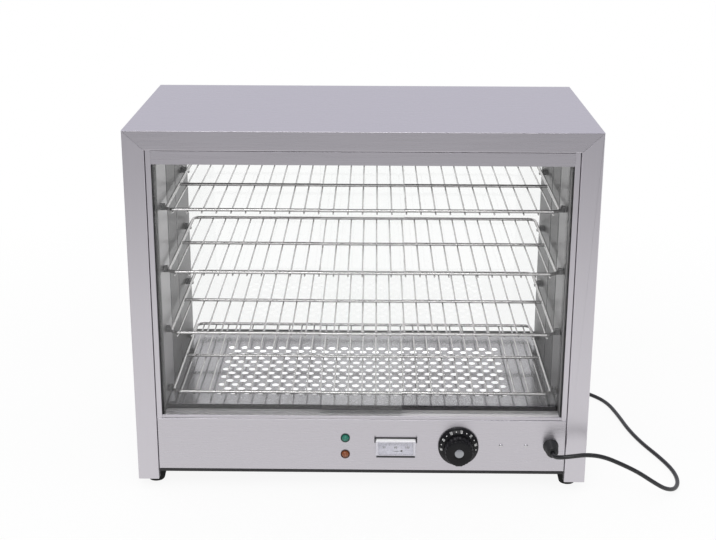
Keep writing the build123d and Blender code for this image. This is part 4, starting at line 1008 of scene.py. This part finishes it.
scale_first_angle = 186.0
scale_step = 35.0
scale_radius = 0.0262
scale_reach = 0.00705
slope_out = 0.0073
slope_back = 0.0047
scale_number_size = 0.0050
scale_dot_radius = 0.0008
mark_thickness = 0.00008
scale_shape = bmesh.new()
for index, words in enumerate(("30", "40", "50", "60", "70", "80")):
    for offset in (0.0, -scale_step / 2):
        angle = math.radians(scale_first_angle - scale_step * index + offset)
        radial = Vector((math.cos(angle), 0, math.sin(angle)))
        outward_along = (radial * slope_out + Vector((0, slope_back, 0))).normalized()
        face_out = (radial * slope_back + Vector((0, -slope_out, 0))).normalized()
        reading = outward_along if math.cos(angle) > 0 else -outward_along
        place = knob_centre + radial * scale_radius + Vector((0, -scale_reach, 0))
        place += face_out * mark_thickness
        if offset:
            mark = dot_mesh(scale_dot_radius, mark_thickness)
        else:
            mark = flat_text(words, scale_number_size, mark_thickness)
        add_mark(scale_shape, mark, place, reading, face_out)
scale_white = plain_plastic("scale_white", (0.80, 0.80, 0.80), 0.45)
dial_scale = shape_piece(scale_shape, "dial_scale")
dress(dial_scale, scale_white, "dial_face", body="knob")


# Pilot lamps: tinted clear lenses with a ringed dome in a dark rim, snapped into the panel and held
# behind it by plated spring nuts.
lamp_x = -0.0241
lamp_looks = {
    "green_lamp": (0.0843, (0.008, 0.160, 0.105), "green_lens"),
    "amber_lamp": (0.0578, (0.215, 0.058, 0.011), "amber_lens"),
}
lens_profile = [
    (0.0, -0.0240),
    (0.0054, -0.0240),
    (0.0054, 0.0012),
    (0.0052, 0.0015),
    (0.0047, 0.0029),
    (0.0037, 0.0039),
    (0.0030, 0.0042),
    (0.0028, 0.0039),
    (0.0025, 0.0042),
    (0.0012, 0.0049),
    (0.0, 0.0050),
]
rim_profile = [
    (0.0055, 0.0),
    (0.0069, 0.0),
    (0.0070, 0.0004),
    (0.0070, 0.0011),
    (0.0067, 0.0015),
    (0.0058, 0.0015),
    (0.0055, 0.0012),
    (0.0055, 0.0),
]
rim_darkness = 0.22
for node_name, (lamp_z, tint, lamp_slot) in lamp_looks.items():
    lamp_centre = (lamp_x, face_y, lamp_z)
    lens_plastic = plain_plastic(node_name + "_plastic", tint, 0.16, 300.0)
    lens_shader = shader_of(lens_plastic)
    lens_shader.inputs["Coat Weight"].default_value = 0.6
    lens_shader.inputs["Subsurface Weight"].default_value = 0.15
    lens_shader.inputs["Subsurface Scale"].default_value = 0.002
    lens = turned("ringed_" + node_name, lens_profile, lamp_centre, sides=48, angle=50.0)
    dress(lens, lens_plastic, lamp_slot, node_name)
    rim_shade = [channel * rim_darkness for channel in tint]
    rim_plastic = plain_plastic(node_name + "_rim_plastic", rim_shade, 0.3, 300.0)
    rim = turned("rim_" + node_name, rim_profile, lamp_centre, sides=48, angle=50.0)
    dress(rim, rim_plastic, lamp_slot)
dressed_copy("lamp_nuts", "plated_lamp_nuts", plated_zinc, "zinc", angle=50.0)


# Thermometer: moulded case that stands out from the panel, held by a black spring clip, with a pale lilac
# face, printed numbers and ticks, a black pointer on its pivot and a clear window over them. The case is
# painted white on its top and grey-lilac on its front, as painted light from above, and the clip's black
# bars, with the strip under the case, lie where its shadow lines fall, as painted shadow.
thermometer_x = 0.0516
thermometer_z = 0.0702
case_white = plain_plastic("case_white", (0.56, 0.55, 0.60), 0.30, 500.0, 0.000003)
# The white top is painted light from above; the darker front is painted shade.
case_lit_top_z = (0.0822, 0.0830)
tint_beyond(case_white, "Z", *case_lit_top_z, (0.95, 0.95, 0.96))
dressed_copy("thermometer_case", "moulded_thermometer_case", case_white, "bezel_chrome", ease=0.0006)
clip_shadow_black = plain_plastic("clip_shadow_black", (0.02, 0.019, 0.022), 0.45)
clip_half_width = 0.0320
clip_end = 0.0016
clip_root = Vector((thermometer_x, face_y - 0.0001, thermometer_z))
# The black bars run along the case's top, sides and foot, where its shadow lines fall: dark pieces put as
# painted shadow.
clip_and_shadow_bars = {
    "top": ((-clip_half_width, -0.0013, 0.0137), (clip_half_width, 0.0, 0.0155)),
    "left": ((-clip_half_width, -0.0050, 0.0085), (clip_end - clip_half_width, 0.0, 0.0155)),
    "right": ((clip_half_width - clip_end, -0.0050, 0.0085), (clip_half_width, 0.0, 0.0155)),
    "foot": ((-0.0290, -0.0087, -0.0138), (0.0290, -0.0080, -0.0110)),
}
for bar_name, (low, high) in clip_and_shadow_bars.items():
    bar_low = clip_root + Vector(low)
    bar_high = clip_root + Vector(high)
    clip_bar = strip("thermometer_clip_" + bar_name, bar_low, bar_high, ease=0.00015)
    dress(clip_bar, clip_shadow_black, "bezel_chrome")
face_lilac = plain_plastic("face_lilac", (0.80, 0.79, 0.88), 0.55, 400.0)
dressed_copy("thermometer_face", "printed_thermometer_face", face_lilac, "dial_face", ease=0.0001)
window_clear = clear_finish("window_clear", (0.99, 0.99, 1.0), 0.02, 1.5, 60.0, 0.00001)
window_gap = 0.0002
window_depth = 0.0008
window_low, window_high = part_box("thermometer_window")
window_high = (window_high[0] - window_gap, window_low[1] + window_depth, window_high[2] - window_gap)
window_low = (window_low[0] + window_gap, window_low[1], window_low[2] + window_gap)
thermometer_window = strip("clear_thermometer_window", window_low, window_high, ease=0.0002)
dress(thermometer_window, window_clear, "dial_window", "thermometer_window")
print_thickness = 0.00004
tick_count = 17
tick_pitch = 0.0022
tick_z = 0.0062
tick_radius = 0.00022
tick_stretches = (10.0, 16.0 / 3.0)
number_size = 0.0048
number_z = 0.0018
number_places = {"20": -0.0176, "60": 0.0, "100": 0.0172}
pointer_radius = 0.0006
pointer_thickness = 0.00005
pointer_stretch = (13.0, 0.8, 1.0, 1.0)
pointer_place = (0.002, -0.0042)
pointer_slope = 0.06
pivot_radius = 0.0015
pivot_thickness = 0.00006
pivot_place = (0.0085, -0.0036)
face_marks = bmesh.new()
face_centre = Vector((thermometer_x, face_y - 0.0061, thermometer_z))


def print_on_face(mesh, x, z, slope=0.0):
    """Puts a small mesh on the face, at a place from its middle and along a slope."""
    place = face_centre + Vector((x, 0, z))
    add_mark(face_marks, mesh, place, Vector((1, 0, slope)), Vector((0, -1, 0)))


for step in range(-(tick_count // 2), tick_count // 2 + 1):
    stretch = tick_stretches[0] if step % 4 == 0 else tick_stretches[1]
    tick = dot_mesh(tick_radius, print_thickness, sides=4)
    tick.transform(Matrix.Diagonal((1.0, stretch, 1.0, 1.0)))
    print_on_face(tick, tick_pitch * step, tick_z)
for words, number_x in number_places.items():
    print_on_face(flat_text(words, number_size, print_thickness), number_x, number_z)
pointer = dot_mesh(pointer_radius, pointer_thickness, sides=4)
pointer.transform(Matrix.Diagonal(pointer_stretch))
print_on_face(pointer, *pointer_place, pointer_slope)
print_on_face(dot_mesh(pivot_radius, pivot_thickness), *pivot_place)
mark_black = plain_plastic("mark_black", (0.03, 0.03, 0.035), 0.5)
printed_marks = shape_piece(face_marks, "thermometer_marks")
dress(printed_marks, mark_black, "dial_face")


# Terminal block: pale moulding behind the panel, where the lead ends. It is held by the two domed screws
# that show on the face.
block_plastic = plain_plastic("block_plastic", (0.55, 0.55, 0.52), 0.5)
dressed_copy("terminal_block", "moulded_terminal_block", block_plastic, "terminal_plastic", ease=0.0004)
screw_z = 0.0733
screw_places = {"left": 0.2095, "right": 0.2470}
screw_profile = [
    (0.0, -0.0180),
    (0.0017, -0.0180),
    (0.0017, 0.0),
    (0.0030, 0.0),
    (0.0030, 0.0003),
    (0.0026, 0.0009),
    (0.0018, 0.0014),
    (0.0009, 0.0016),
    (0.0007, 0.0011),
    (0.0, 0.0010),
]
screw_steel = brushed_metal("screw_steel", (0.66, 0.65, 0.66), (900.0,) * 3, 0.18)
for side, screw_x in screw_places.items():
    screw = turned("domed_screw_" + side, screw_profile, (screw_x, face_y, screw_z), sides=24)
    dress(screw, screw_steel, "zinc", "panel_screws")


# Cord gland: black moulded strain relief that tapers towards the lead, with ribs along its nose. It is
# gripped in the panel by a nut behind.
gland_profile = [
    (0.0, -0.0090),
    (0.0069, -0.0090),
    (0.0069, 0.0),
    (0.0112, 0.0),
    (0.0115, 0.0005),
    (0.0115, 0.0024),
    (0.0110, 0.0030),
    (0.0104, 0.0032),
]
rib_count = 5
rib_start = 0.0040
rib_pitch = 0.0036
rib_width = 0.0022
rib_depth = 0.0007
rib_root_radius = 0.0105
rib_taper = 0.00035
for rib in range(rib_count):
    reach = rib_start + rib_pitch * rib
    radius = rib_root_radius - rib_taper * rib
    gland_profile += [
        (radius, reach),
        (radius, reach + rib_width),
        (radius - rib_depth, reach + rib_width + 0.0003),
        (radius - rib_depth, reach + rib_pitch - 0.0003),
    ]
gland_profile += [(0.0086, 0.0222), (0.0079, 0.0245), (0.0068, 0.0252), (0.0036, 0.0252), (0.0, 0.0240)]
gland_plastic = plain_plastic("gland_plastic", (0.010, 0.010, 0.011), 0.38)
gland = turned("ribbed_gland", gland_profile, (gland_x, face_y, gland_z), sides=40, angle=40.0)
dress(gland, gland_plastic, "gland_plastic", "cord_gland")
dressed_copy("gland_nut", "moulded_gland_nut", gland_plastic, "gland_plastic", ease=0.0004)
